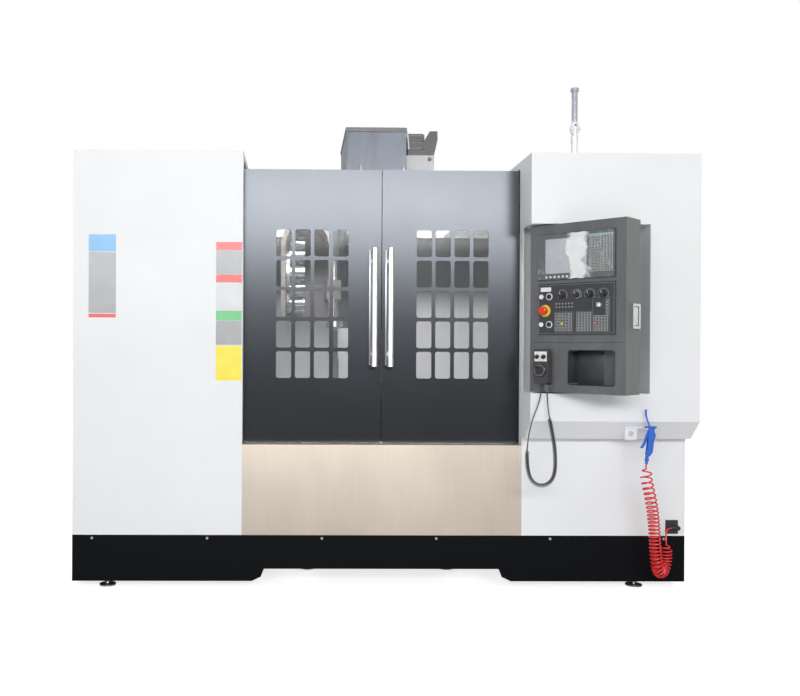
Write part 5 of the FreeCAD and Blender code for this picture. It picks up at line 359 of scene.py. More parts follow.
def make_finishes(colours):
    """Every finish of the machine by its slot or use, from its maker and what the maker asks for."""
    across = Vector((math.cos(CONTROL_TURN), -math.sin(CONTROL_TURN), 0.0))
    side_edge = across.dot(place(*CONTROL_CORNER)) + (CONTROL_WIDTH - 0.5) * MM
    # Lighter, greener copy of the box's grey for its right side face: painted light.
    box_side_painted_light = [part * share for part, share in zip(colours.box, (1.42, 1.46, 1.32))]
    cover_edge = 0.188
    steel = (0.56, 0.57, 0.58)
    table = {
        painted: (
            ("white_paint", colours.white, 0.42),
            ("guard_paint", (0.8, 0.81, 0.83), 0.4),
            ("lip_black", (0.03, 0.031, 0.036), 0.4),
            ("magazine_grey", (0.2, 0.185, 0.17), 0.36),
        ),
        textured_black: (
            ("black_texture", colours.black, 0.25, 0.45),
            ("base_black", scaled(colours.black, 0.7), 0.55, 0.05),
        ),
        smeared: (("stainless", colours.stainless, 0.36, 2, 300.0, 0.05, 0.045),),
        brushed: (
            ("aluminium_tube", (0.86, 0.86, 0.86), 0.46, 2, 300.0, 0.05, 0.04),
            # Grey of the strips beside the handles: painted shadow of the handles.
            ("handle_strip", (0.24, 0.245, 0.26), 0.42, 2, 300.0, 0.05, 0.05),
            ("ground_steel", (0.58, 0.58, 0.59), 0.26, 0, 260.0, 0.05),
            ("table_iron", (0.44, 0.44, 0.45), 0.34, 0, 160.0, 0.08),
            ("cover_steel", steel, 0.3, 0, 240.0, 0.07),
            ("key_chrome", (0.78, 0.78, 0.79), 0.14, 2, 200.0, 0.02),
            ("foot_steel", (0.5, 0.5, 0.51), 0.3, 2, 160.0, 0.05),
        ),
        cast: (
            ("casting", (0.33, 0.37, 0.37), 0.5),
            ("head_casting", (0.06, 0.07, 0.095), 0.42),
            ("motor_black", (0.03, 0.03, 0.032), 0.45),
        ),
        two_tone: (
            # Inner guards: light paint below 1.40 m, and above 1.58 m a near-black that is painted shade.
            ("inner_paint", (0.82, 0.82, 0.83), (0.014, 0.0155, 0.019), 0.34, 1.40, 1.58),
            ("lamp_clear", (0.8, 0.8, 0.82), (0.42, 0.42, 0.5), 0.2, 2.312, 2.318),
        ),
        two_sided: (
            ("head_sheet", (0.27, 0.295, 0.35), steel, 0.4, (1.0, 0.0, 0.0), cover_edge),
            # Right side face of the box in a lit copy of its grey: painted light.
            ("dark_box", colours.box, box_side_painted_light, 0.34, across, side_edge),
        ),
        clear: (("window", (0.7, 0.73, 0.75), 0.05, 0.06),),
        glowing: (("work_light", (1.0, 0.99, 0.96), 130.0),),
        wrinkled_film: (("film", (0.95, 0.96, 0.97), 0.874, 0.03),),
        moulded: (
            ("carrier_black", (0.018, 0.018, 0.02), 0.5),
            ("unit_grey", (0.085, 0.09, 0.095), 0.42),
            ("panel_black", (0.04, 0.043, 0.05), 0.36),
            ("knob_black", (0.02, 0.02, 0.022), 0.38),
            ("stop_red", (0.75, 0.045, 0.02), 0.24),
            ("button_white", (0.8, 0.81, 0.8), 0.28),
            ("pendant_grey", (0.045, 0.046, 0.05), 0.46),
            ("lamp_white", (0.8, 0.8, 0.79), 0.34),
            ("gun_blue", colours.gun, 0.3),
            ("hose_red", colours.hose, 0.26),
            ("fitting_black", (0.015, 0.015, 0.016), 0.4),
            ("cord_black", (0.03, 0.031, 0.034), 0.42, 0.1),
            ("key_teal", (0.06, 0.42, 0.38), 0.45),
            ("key_light", (0.62, 0.64, 0.64), 0.45),
            ("key_dark", (0.02, 0.021, 0.023), 0.42),
            ("key_grey", (0.3, 0.31, 0.32), 0.45),
            ("key_yellow", (0.85, 0.6, 0.03), 0.4),
            ("key_pink", (0.7, 0.16, 0.18), 0.4),
            ("mark_white", (0.82, 0.82, 0.8), 0.5),
            ("ring_yellow", (0.85, 0.55, 0.02), 0.4),
            ("film_red", (0.72, 0.05, 0.045), 0.38),
            ("film_green", (0.1, 0.5, 0.16), 0.38),
            ("film_yellow", (0.9, 0.75, 0.03), 0.38),
            ("film_grey", (0.33, 0.34, 0.35), 0.38),
            ("film_blue", (0.03, 0.3, 0.62), 0.34),
            ("rubber_black", (0.02, 0.02, 0.021), 0.7, 0.15),
            ("screen_glass", (0.5, 0.505, 0.55), 0.12, 0.01),
        ),
    }
    made = {row[0]: maker(*row) for maker, rows in table.items() for row in rows}
    made["white_paint"].set(Specular_IOR_Level=0.16)
    made["head_sheet"].set(Specular_IOR_Level=0.12)
    for name, finish in made.items():
        FINISHES[name] = finish.material


def finish_node(node, finish):
    """Gives a carried-over node its finish."""
    mesh = NODES[node].data
    mesh.materials.clear()
    mesh.materials.append(FINISHES[finish])


# ------------------------------------------------------------------ shapes
class Shape:
    """Collects faces in drawing millimetres and ends as one object in the row's frame."""

    def __init__(self, frame_matrix=None):
        self.mesh = bmesh.new()
        self.matrix = frame_matrix or Matrix.Identity(4)

    def box(self, x0, x1, y0, y1, z0, z1, bevel=0.0, segments=2):
        made = bmesh.ops.create_cube(self.mesh, size=1.0)["verts"]
        for vertex in made:
            share = vertex.co + Vector((0.5, 0.5, 0.5))
            vertex.co = (x0 + share.x * (x1 - x0), y0 + share.y * (y1 - y0), z0 + share.z * (z1 - z0))
        if bevel:
            edges = list({edge for vertex in made for edge in vertex.link_edges})
            bmesh.ops.bevel(
                self.mesh, geom=edges, offset=bevel, segments=segments, profile=0.5, affect="EDGES"
            )
        return self

    def bridge(self, rings):
        """Faces from each ring of corners to the next, where a ring may be a single point."""
        for low, high in zip(rings[:-1], rings[1:]):
            count = max(len(low), len(high))
            for i in range(count):
                j = (i + 1) % count
                corners = [low[i % len(low)], low[j % len(low)], high[j % len(high)], high[i % len(high)]]
                corners = list(dict.fromkeys(corners))
                if len(corners) > 2:
                    self.mesh.faces.new(corners)
        return self

    def turned(self, profile, start, axis=(0, 0, 1), sides=32):
        """A radius, height profile turned about an axis from a start point."""
        turn = Vector((0, 0, 1)).rotation_difference(Vector(axis)).to_matrix()
        rings = []
        for radius, height in profile:
            ways = circle(sides if radius > 0 else 1)
            spokes = [Vector((radius * c, radius * s, height)) for c, s in ways]
            rings.append([self.mesh.verts.new(Vector(start) + turn @ spoke) for spoke in spokes])
        return self.bridge(rings)

    def tube(self, points, radius, sides=12):
        """Round bar through the points, closed at both ends."""
        points = [Vector(point) for point in points]
        side = (points[1] - points[0]).normalized().orthogonal()
        rings = []
        for i, point in enumerate(points):
            way = (points[min(i + 1, len(points) - 1)] - points[max(i - 1, 0)]).normalized()
            side = (side - way * side.dot(way)).normalized()
            up = way.cross(side)
            spokes = [(side * c + up * s) * radius for c, s in circle(sides)]
            rings.append([self.mesh.verts.new(point + spoke) for spoke in spokes])
        self.bridge(rings)
        self.mesh.faces.new(rings[0][::-1])
        self.mesh.faces.new(rings[-1])
        return self

    def ring(self, centre, axis, radius, thickness, sides=32, section=10):
        """A closed round ring."""
        turn = Vector((0, 0, 1)).rotation_difference(Vector(axis)).to_matrix()
        loops = []
        for c, s in circle(sides):
            reaches = [(radius + thickness * out, thickness * up) for out, up in circle(section)]
            spokes = [Vector((reach * c, reach * s, height)) for reach, height in reaches]
            loops.append([self.mesh.verts.new(Vector(centre) + turn @ spoke) for spoke in spokes])
        return self.bridge(loops + loops[:1])

    def finished(self, name, finish, body, slot, smooth=35.0):
        """Makes the object, moves it to the row's frame and lets it ride on its body."""
        bmesh.ops.recalc_face_normals(self.mesh, faces=self.mesh.faces)
        for vertex in self.mesh.verts:
            vertex.co = place(*(self.matrix @ vertex.co))
        mesh = bpy.data.meshes.new(name)
        self.mesh.to_mesh(mesh)
        self.mesh.free()
        mesh.materials.append(FINISHES[finish])
        mesh.shade_smooth()
        mesh.set_sharp_from_angle(angle=math.radians(smooth))
        joined_to_machine(bpy.data.objects.new(name, mesh), body)


def joined_to_machine(piece, body):
    """Shows a finished piece and lets it ride on its body."""
    bpy.context.scene.collection.objects.link(piece)
    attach(piece, body)


def baked(holder):
    """The holder's final shape as a plain mesh. The holder and its modifier go."""
    bpy.context.scene.collection.objects.link(holder)
    bpy.context.view_layer.update()
    seen = holder.evaluated_get(bpy.context.evaluated_depsgraph_get())
    mesh = bpy.data.meshes.new_from_object(seen)
    bpy.data.objects.remove(holder)
    return mesh


# ------------------------------------------------------------------ repeated pieces
def new_tree(name, **inputs):
    """A geometry tree with named inputs, and the sockets that give them."""
    tree = bpy.data.node_groups.new(name, "GeometryNodeTree")
    for label, kind in inputs.items():
        tree.interface.new_socket(label, in_out="INPUT", socket_type="NodeSocket" + kind)
    tree.interface.new_socket("Geometry", in_out="OUTPUT", socket_type="NodeSocketGeometry")
    return tree, added(tree, "NodeGroupInput").outputs


def close_tree(tree, given, points, instance, rotation=(0.0, 0.0, 0.0)):
    """Puts the instance on the points and ends the tree in Realize Instances and Set Material."""
    spread = added(
        tree, "GeometryNodeInstanceOnPoints", {"Points": points, "Instance": instance, "Rotation": rotation}
    )
    real = added(tree, "GeometryNodeRealizeInstances", {0: spread.outputs[0]})
    paint = added(
        tree, "GeometryNodeSetMaterial", {"Geometry": real.outputs[0], "Material": given["Material"]}
    )
    added(tree, "NodeGroupOutput", {0: paint.outputs[0]})
    return tree


def cap_grid_tree():
    """Key caps in a grid: X across, Y up, rising along Z."""
    kinds = {"Columns": "Int", "Rows": "Int", "Pitch": "Float", "Cap": "Vector", "Material": "Material"}
    tree, given = new_tree("cap_grid", **kinds)
    size = {"Vertices X": given["Columns"], "Vertices Y": given["Rows"]}
    for axis, count in (("Size X", "Columns"), ("Size Y", "Rows")):
        size[axis] = worked(tree, "MULTIPLY", worked(tree, "SUBTRACT", given[count], 1.0), given["Pitch"])
    grid = added(tree, "GeometryNodeMeshGrid", size)
    cap = added(tree, "GeometryNodeMeshCube", {"Size": given["Cap"]})
    return close_tree(tree, given, grid.outputs["Mesh"], cap.outputs["Mesh"])


def mark_ring_tree():
    """Radial marks round a centre in the XY plane."""
    kinds = {"Count": "Int", "Radius": "Float", "Start": "Float", "Step": "Float", "Mark": "Vector"}
    tree, given = new_tree("mark_ring", Material="Material", **kinds)
    line = added(tree, "GeometryNodeMeshLine", {"Count": given["Count"], "Offset": (0.0, 0.0, 0.0)})
    index = added(tree, "GeometryNodeInputIndex").outputs[0]
    angle = worked(tree, "MULTIPLY_ADD", index, given["Step"], given["Start"])
    turn = added(tree, "ShaderNodeCombineXYZ", {"Z": angle})
    out = added(tree, "ShaderNodeCombineXYZ", {"X": given["Radius"]})
    mark = added(tree, "GeometryNodeMeshCube", {"Size": given["Mark"]})
    moved = added(
        tree, "GeometryNodeTransform", {"Geometry": mark.outputs["Mesh"], "Translation": out.outputs[0]}
    )
    return close_tree(tree, given, line.outputs["Mesh"], moved.outputs[0], turn.outputs[0])


def screw_row_tree():
    """Low round screw heads in a row, with their heads along -Y."""
    kinds = {"Count": "Int", "Offset": "Vector", "Radius": "Float", "Height": "Float"}
    tree, given = new_tree("screw_row", Material="Material", **kinds)
    line = added(tree, "GeometryNodeMeshLine", {"Count": given["Count"], "Offset": given["Offset"]})
    cone = {
        "Vertices": 20,
        "Radius Top": worked(tree, "MULTIPLY", given["Radius"], 0.72),
        "Radius Bottom": given["Radius"],
        "Depth": given["Height"],
    }
    head = added(tree, "GeometryNodeMeshCone", cone)
    return close_tree(tree, given, line.outputs["Mesh"], head.outputs["Mesh"], (math.pi / 2, 0.0, 0.0))


def grown(name, tree, values, finish, body, matrix):
    """Runs a tree with its inputs, bakes the result, and places it with a drawing matrix."""
    holder = bpy.data.objects.new(name + "_holder", bpy.data.meshes.new(name + "_holder"))
    modifier = holder.modifiers.new("grow", "NODES")
    modifier.node_group = tree
    wanted = dict(values, Material=FINISHES[finish])
    for item in tree.interface.items_tree:
        if item.item_type == "SOCKET" and item.in_out == "INPUT":
            modifier[item.identifier] = wanted[item.name]
    mesh = baked(holder)
    mesh.name = name
    for vertex in mesh.vertices:
        vertex.co = place(*(matrix @ vertex.co))
    mesh.update()
    joined_to_machine(bpy.data.objects.new(name, mesh), body)


# ------------------------------------------------------------------ stage
class MACHINE_OT_stage(bpy.types.Operator):
    """Pale floor, soft light, white surroundings and the camera"""

    bl_idname = "machine.stage"
    bl_label = "Stage and camera"

    camera_place = (-403.26, -4102.69, 1187.65)
    yaw = 0.01382
    pitch = -0.00323
    roll = 0.0051
    film_width = 36.0
    floor_reach = 60.0

    def execute(self, context):
        self.floor()
        self.surroundings(context)
        self.lights(context)
        self.camera(context)
        return {"FINISHED"}

    def floor(self):
        mesh = bpy.data.meshes.new("floor")
        half = self.floor_reach
        corners = [(-half, -half, 0), (half, -half, 0), (half, half, 0), (-half, half, 0)]
        mesh.from_pydata(corners, [], [(0, 1, 2, 3)])
        mesh.materials.append(self.floor_finish())
        floor = bpy.data.objects.new("floor", mesh)
        bpy.context.scene.collection.objects.link(floor)

    def floor_finish(self):
        """Pale floor that reads as white where nothing shades it, and keeps the shadow."""
        finish = Finish("floor", (0.7, 0.7, 0.7), 0.9)
        finish.shade(finish.noise(0.6, 3.0), 0.01)
        finish.set(Specular_IOR_Level=0.05)
        seen = finish.add("ShaderNodeLightPath").outputs["Is Camera Ray"]
        lift = finish.add("ShaderNodeEmission", {"Strength": finish.work("MULTIPLY", seen, 0.78)})
        both = finish.add("ShaderNodeAddShader", {0: finish.shader.outputs[0], 1: lift.outputs[0]})
        finish.tree.links.new(both.outputs[0], finish.output.inputs["Surface"])
        return finish.material

    def surroundings(self, context):
        """Even fill that the camera and glass see as white, and glossy faces as a little less."""
        world = bpy.data.worlds.new("surroundings")
        context.scene.world = world
        world.use_nodes = True
        tree = world.node_tree
        tree.nodes.clear()
        rays = added(tree, "ShaderNodeLightPath").outputs
        mirrored = rays["Is Glossy Ray"]
        seen = worked(tree, "MAXIMUM", rays["Is Camera Ray"], rays["Is Transmission Ray"])
        shown = worked(tree, "MAXIMUM", seen, mirrored)
        strength = worked(tree, "MULTIPLY_ADD", mirrored, 0.7, seen)
        even = {"Color": (0.95, 0.97, 1.0, 1.0), "Strength": context.scene.machine_sizes.fill}
        fill = added(tree, "ShaderNodeBackground", even)
        white = added(tree, "ShaderNodeBackground", {"Color": (1.0, 1.0, 1.0, 1.0), "Strength": strength})
        mix = added(tree, "ShaderNodeMixShader", {0: shown, 1: fill.outputs[0], 2: white.outputs[0]})
        added(tree, "ShaderNodeOutputWorld", {"Surface": mix.outputs[0]})

    def lamp(self, name, spot, target, width, height, power):
        light = bpy.data.lights.new(name, "AREA")
        light.shape = "RECTANGLE"
        light.size = width
        light.size_y = height
        light.energy = power
        lamp = bpy.data.objects.new(name, light)
        lamp.location = spot
        lamp.rotation_mode = "QUATERNION"
        lamp.rotation_quaternion = (Vector(target) - Vector(spot)).to_track_quat("-Z", "Y")
        bpy.context.scene.collection.objects.link(lamp)
        return lamp

    def lights(self, context):
        """A wide lamp in front, one there that only shines in glossy faces, and a soft one above."""
        power = context.scene.machine_sizes.key_light
        doors = (0.0, -0.7, 1.5)
        self.lamp("front_light", (-0.4, -7.4, 3.1), doors, 8.0, 1.1, power * 1.04)
        sheen = self.lamp("sheen_light", (-0.4, -7.3, 3.1), doors, 8.0, 1.3, power * 2.2)
        sheen.visible_diffuse = False
        self.lamp("top_light", (0.0, 0.2, 5.2), (0.0, 0.0, 0.0), 5.0, 3.0, power * 0.3)

    def camera(self, context):
        sizes = context.scene.machine_sizes
        data = bpy.data.cameras.new("camera")
        data.lens = sizes.lens
        data.sensor_width = self.film_width
        data.shift_x = sizes.shift
        data.clip_end = 200.0
        camera = bpy.data.objects.new("camera", data)
        right = Vector((math.cos(self.yaw), -math.sin(self.yaw), 0.0))
        ahead = Vector((math.sin(self.yaw), math.cos(self.yaw), 0.0))
        forward = ahead * math.cos(self.pitch) + Vector((0.0, 0.0, math.sin(self.pitch)))
        up = right.cross(forward)
        c, s = math.cos(self.roll), math.sin(self.roll)
        turn = Matrix((right * c + up * s, up * c - right * s, -forward)).transposed()
        camera.matrix_world = Matrix.Translation(place(*self.camera_place)) @ turn.to_4x4()
        context.scene.collection.objects.link(camera)
        context.scene.camera = camera
        context.scene.view_settings.view_transform = "Standard"


# ------------------------------------------------------------------ finishes of the nodes
class MACHINE_OT_finishes(bpy.types.Operator):
    """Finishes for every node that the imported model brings"""

    bl_idname = "machine.finishes"
    bl_label = "Finishes"

    own = {
        "base_skirt": "base_black",
        "head_cover": "head_sheet",
        "magazine_housing": "magazine_grey",
        # The inner guards' finish is light paint below and painted shade above.
        "inner_guards": "inner_paint",
        "operator_panel": "panel_black",
        "display_unit": "panel_black",
        "pendant_dial": "knob_black",
        "headstock": "head_casting",
        "electrical_cabinet": "white_paint",
        "electrical_door": "white_paint",
    }

    def execute(self, context):
        make_finishes(context.scene.machine_colours)
        slots = {part["node"]: part["material_slot"] for part in frame["record"]["subparts"]}
        for node in NODES:
            finish_node(node, self.own.get(node, slots[node]))
        return {"FINISHED"}


# ------------------------------------------------------------------ guards
class MACHINE_OT_guards(bpy.types.Operator):
    """Lifting eye, plain colour fields, the base's screws and the work lamps"""

    bl_idname = "machine.guards"
    bl_label = "Guards' trim"

    film_thickness = 0.8
    lamp_length = 520.0
    lamp_lefts = (-560.0, 60.0)
    eye_place = (-770.0, 60.0)
    screw_count = 6
    screw_step = 560.0
    screw_inset = (96.0, 16.0)
    screw_seat = -1.2
    cabinet_fields = (
        ("film_blue", 1722.0, 1640.0),
        ("film_grey", 1636.0, 1340.0),
        ("film_red", 1336.0, 1318.0),
    )
    door_fields = (
        ("film_red", 1689.0, 1650.0),
        ("film_grey", 1648.0, 1532.0),
        ("film_red", 1530.0, 1492.0),
        ("key_light", 1490.0, 1356.0),
        ("film_green", 1354.0, 1306.0),
        ("film_grey", 1304.0, 1188.0),
        ("film_yellow", 1183.0, 1014.0),
    )

    def execute(self, context):
        sizes = context.scene.machine_sizes
        self.lifting_eye(sizes.eye_ring)
        self.fields("stripe_field", -1425.0, -1293.0, self.cabinet_fields)
        self.fields("notice_field", -806.0, -680.0, self.door_fields)
        self.base_screws(sizes.screw_head)
        self.work_lights()
        return {"FINISHED"}

    def work_lights(self):
        """Two lit work lamps behind the upper door rail, aimed down into the work space."""
        high = drawn("door_rails")[1]
        y, bottom = high.y, high.z - 42.0
        for number, x in enumerate(self.lamp_lefts, 1):
            end = x + self.lamp_length
            housing = Shape().box(x, end, y, y + 46.0, bottom, high.z - 8.0, 3.0)
            housing.finished("work_lamp_%d" % number, "aluminium_tube", "machine", "aluminium_tube")
            glow = Shape().box(x + 14.0, end - 14.0, y + 5.0, y + 41.0, bottom - 4.0, bottom, 1.0)
            glow.finished("work_lamp_glass_%d" % number, "work_light", "machine", "lamp_white")

    def lifting_eye(self, ring):
        """Round eye on its collar, on the left cabinet's roof."""
        top = drawn("left_cabinet")[1].z
        x, y = self.eye_place
        shank = [(0, 0), (13, 0), (13, 3), (9, 6), (7, 9), (0, 9)]
        shape = Shape().turned(shank, (x, y, top))
        shape.ring((x, y, top + shank[-1][1] + ring * 0.75), (0, 1, 0), ring * 0.72, ring * 0.24)
        shape.finished("lifting_eye", "foot_steel", "machine", "foot_steel")

    def fields(self, stem, left, right, bands):
        """Plain coloured film, one band below the other: the finish, top and bottom of each."""
        for number, (finish, top, bottom) in enumerate(bands, 1):
            shape = Shape().box(left, right, -self.film_thickness, 0.0, bottom, top, 0.3, 1)
            shape.finished("%s_%d" % (stem, number), finish, "machine", "white_paint")

    def base_screws(self, radius):
        """Screw heads along the top of the base's front."""
        low, high = drawn("base_skirt")
        across, down = self.screw_inset
        start = Matrix.Translation((low.x + across, self.screw_seat, high.z - down))
        step = (self.screw_step, 0.0, 0.0)
        values = {"Count": self.screw_count, "Offset": step, "Radius": radius, "Height": 2.4}
        grown("base_screws", screw_row_tree(), values, "foot_steel", "machine", start)


# ------------------------------------------------------------------ doors
class MACHINE_OT_doors(bpy.types.Operator):
    """Painted shadow strips beside the handles, the handles' ends and the meeting seal of the sliding doors
    """

    bl_idname = "machine.doors"
    bl_label = "Doors' trim"

    edge = 4.0
    post_inset = 60.0

    def execute(self, context):
        width = context.scene.machine_sizes.shadow_strip_width
        for side in ("left", "right"):
            self.strip(side, width)
            self.handle_ends(side)
        self.meeting_seal()
        return {"FINISHED"}

    def strip(self, side, width):
        """Grey strip fixed to the door along the left of its handle, where the handle's shadow falls: painted
        shadow.
        """
        low, high = drawn(side + "_door_handle")
        face = drawn(side + "_door")[0].y
        right = low.x + self.edge
        bottom, top = low.z + self.edge, high.z - self.edge
        shape = Shape().box(right - width, right, face - 2.0, face, bottom, top, 0.6)
        shape.finished(side + "_handle_strip", "handle_strip", side + "_door", "aluminium_tube")

    def handle_ends(self, side):
        """Domed end caps and the posts' round feet."""
        low, high = drawn(side + "_door_handle")
        face = drawn(side + "_door")[0].y
        x = (low.x + high.x) / 2
        radius = (high.x - low.x) / 2
        cap = [(radius, -6.0), (radius + 0.4, -5.6), (radius + 0.4, 0), (radius - 2, 2.0), (0, 2.4)]
        foot = [(0, 0), (13, 0), (13, 3), (9, 5), (8.2, 5)]
        shape = Shape()
        for z, way in ((low.z, -1), (high.z, 1)):
            shape.turned(cap, (x, low.y + radius, z), (0, 0, way))
        for z in (low.z + self.post_inset, high.z - self.post_inset):
            shape.turned(foot, (x, face, z), (0, -1, 0))
        shape.finished(side + "_handle_ends", "aluminium_tube", side + "_door", "aluminium_tube")

    def meeting_seal(self):
        """Rubber lip on the left door's meeting edge."""
        low, high = drawn("left_door")
        x, bottom, top = high.x, low.z + self.edge, high.z - self.edge
        shape = Shape().box(x, x + 1.6, low.y + 6.0, low.y + 34.0, bottom, top, 0.4)
        shape.finished("meeting_seal", "rubber_black", "left_door", "cord_black")


# ------------------------------------------------------------------ control box
def control_face(u=0.0, v=0.0, out=0.0):
    """Matrix of a place on the control box's face: X across it, Y up it, Z out of it."""
    turned = Matrix.Rotation(-CONTROL_TURN, 4, "Z")
    upright = Matrix(((1, 0, 0, 0), (0, 0, -1, 0), (0, 1, 0, 0), (0, 0, 0, 1)))
    return Matrix.Translation(CONTROL_CORNER) @ turned @ upright @ Matrix.Translation((u, v, out))


def washer(name, finish, spot, profile, sides, body="control_box", slot="unit_grey"):
    """A flat ring at a spot of the control box's face, turned from an open profile that it closes."""
    shape = Shape(control_face(*spot))
    shape.turned(profile + profile[:1], (0, 0, 0), sides=sides)
    shape.finished(name, finish, body, slot)


class MACHINE_OT_control_box(bpy.types.Operator):
    """Screen, key caps, switch marks, rings, film, the side pull and the pocket's lining of painted shade on
    the control box
    """

    bl_idname = "machine.control_box"
    bl_label = "Control box"

    unit_front = 5.0
    plate_front = 7.0
    knob_top = 29.3
    key_pitch = 14.5
    key_size = 11.0
    key_proud = 2.0
    key_groups = {"keys_a": (135.0, 6, 6), "keys_b": (243.0, 5, 6), "keys_c": (325.0, 5, 5)}
    single_keys_left = 383.0
    keys_bottom = 288.0
    tall_cap = (11.4, 0.9)
    display_keys_corner = (302.0, 557.0)
    screen_edges = (80.0, 288.0, 558.0, 720.0)
    screen_sunk = 3.0
    film_edges = (43.0, 425.0, 530.0, 741.0)
    switches = {
        "mode_switch": 170.0,
        "rapid_override": 242.0,
        "feed_override": 306.0,
        "spindle_override": 371.0,
    }
    switch_row = 455.0
    stop_place = (82.0, 384.0)
    button_column = 103.5
    button_rows = (450.0, 319.0)
    outlines = (
        (48.6, 421.0, 277.0, 504.0),
        (131.0, 225.0, 283.0, 377.0),
        (239.0, 314.0, 283.0, 377.0),
        (320.0, 400.0, 283.0, 440.0),
    )

    def execute(self, context):
        self.caps = cap_grid_tree()
        self.screen()
        self.display_keys()
        self.operator_keys()
        self.operator_lines()
        self.switch_marks()
        self.rings()
        self.knob_pointers()
        self.pocket_shade_lining()
        self.side_pull()
        self.film()
        return {"FINISHED"}

    def key_block(self, name, corner, counts, finish, size, lift, proud=key_proud, pitch=key_pitch):
        """Caps over a block of the unit's keys, from the lower left key's corner."""
        middle = [start + (self.key_size + (count - 1) * pitch) / 2 for start, count in zip(corner, counts)]
        values = {"Columns": counts[0], "Rows": counts[1], "Pitch": pitch, "Cap": (size, size, 1.2)}
        matrix = control_face(*middle, self.unit_front + proud + lift)
        grown(name, self.caps, values, finish, "control_box", matrix)

    def framed_keys(self, name, corner, counts, finish, proud=key_proud):
        """Light key frames with a darker cap in each."""
        self.key_block(name + "_frames", corner, counts, "key_light", self.key_size, 0.0, proud)
        self.key_block(name + "_caps", corner, counts, finish, self.key_size - 3.0, 0.5, proud)

    def screen(self):
        """Smooth glass in the sunk screen."""
        back = self.unit_front - self.screen_sunk
        shape = Shape(control_face()).box(*self.screen_edges, back, back + 1.4, 0.6)
        shape.finished("screen_glass", "screen_glass", "control_box", "unit_grey")

    def display_keys(self):
        """The display unit's framed keys, with a top row in another colour, and the row below the screen."""
        left, bottom = self.display_keys_corner
        columns, rows = 8, 11
        self.framed_keys("display_keys", (left, bottom), (columns, rows), "key_dark")
        top = bottom + rows * self.key_pitch
        self.framed_keys("display_keys_top", (left, top), (columns, 1), "key_teal")
        self.key_block("soft_keys", (83.0, 536.0), (10, 1), "mark_white", 9.0, 0.0, pitch=21.0)

    def operator_keys(self):
        """Four groups of framed keys, and a yellow and a pink cap over two of their keys."""
        bottom = self.keys_bottom
        two = 2 * self.key_pitch
        for name, (left, *counts) in self.key_groups.items():
            self.framed_keys(name, (left, bottom), counts, "key_dark")
        corner = (self.single_keys_left, bottom + 5 * self.key_pitch)
        self.framed_keys("keys_d", corner, (1, 5), "key_dark", 0.0)
        corner = (self.key_groups["keys_a"][0] + two, bottom + two)
        self.key_block("key_yellow", corner, (1, 1), "key_yellow", *self.tall_cap)
        corner = (self.key_groups["keys_c"][0], bottom + two)
        self.key_block("key_pink", corner, (1, 1), "key_pink", *self.tall_cap)

    def operator_lines(self):
        """Printed lines round the groups, a bare label plate, the counter's cells and plain marks."""
        front = self.unit_front
        shape = Shape(control_face())
        for left, right, bottom, top in self.outlines:
            for v in (bottom, top - 1):
                shape.box(left, right, v, v + 1, front, front + 0.25)
            for u in (left, right - 1):
                shape.box(u, u + 1, bottom, top, front, front + 0.25)
        shape.finished("panel_lines", "key_grey", "control_box", "unit_grey")
        plate = Shape(control_face()).box(58.0, 112.0, 474.0, 494.0, front, front + 0.6, 0.2, 1)
        plate.finished("label_plate", "mark_white", "control_box", "unit_grey")
        self.key_block("counter_cells", (250.0, 398.0), (6, 1), "mark_white", 8.6, 0.0, 0.0, 9.8)
        self.key_block("symbol_marks", (134.0, 394.0), (6, 2), "key_grey", 7.0, -0.5, 0.0, 16.0)

    def switch_marks(self):
        """Scale marks round the four rotary switches."""
        tree = mark_ring_tree()
        start, step = math.radians(-30.0), math.radians(20.0)
        values = {"Count": 13, "Radius": 24.0, "Start": start, "Step": step, "Mark": (5.0, 1.3, 0.3)}
        for number, u in enumerate(self.switches.values(), 1):
            matrix = control_face(u, self.switch_row, self.unit_front + 0.15)
            grown("switch_marks_%d" % number, tree, values, "mark_white", "control_box", matrix)

    def rings(self):
        """Collar of one switch, the stop's yellow ring and pale bezels round the push buttons."""
        collar = [(14.5, 0), (18.6, 0), (18.2, 0.5), (14.5, 0.5)]
        spot = (self.switches["rapid_override"], self.switch_row, self.plate_front)
        washer("switch_collar", "key_grey", spot, collar, 48)
        stop = [(14.0, 0), (28.4, 0), (28.4, 0.5), (27.6, 0.9), (14.0, 0.9)]
        washer("stop_ring", "ring_yellow", (*self.stop_place, self.plate_front), stop, 48)
        bezel = [(12.2, 0), (16.4, 0), (16.0, 3.4), (12.2, 3.8)]
        for number, v in enumerate(self.button_rows, 1):
            spot = (self.button_column, v, self.unit_front + 0.2)
            washer("button_ring_%d" % number, "button_white", spot, bezel, 36)

    def knob_pointers(self):
        """White pointers on the tops of the four switches' knobs."""
        for node, u in self.switches.items():
            shape = Shape(control_face(u, self.switch_row, self.knob_top))
            shape.box(-1.0, 1.0, 2.0, 12.5, 0.0, 0.5)
            shape.finished(node + "_pointer", "mark_white", node, "knob_black")

    def side_pull(self):
        """Pale cover frame, floor and grip of the pull on the box's right side."""
        face = CONTROL_WIDTH + 9.0
        bottom, top, back, front = 297.0, 409.0, -124.0, -52.0
        rim, floor, grip = 12.0, 13.5, 15.0
        shape = Shape(control_face())
        for v in (bottom, top - rim):
            shape.box(face, face + 1.4, v, v + rim, back, front, 0.5, 1)
        for depth in (back, front - rim):
            shape.box(face, face + 1.4, bottom + rim, top - rim, depth, depth + rim, 0.5, 1)
        wall = CONTROL_WIDTH
        shape.box(wall, wall + 1.2, bottom + floor, top - floor, back + floor, front - floor, 0.3, 1)
        shape.box(wall + 1.0, face - 1.5, bottom + grip, top - grip, back + 17.0, front - 17.0, 2.0)
        shape.finished("side_pull_cover", "button_white", "control_box", "dark_box")

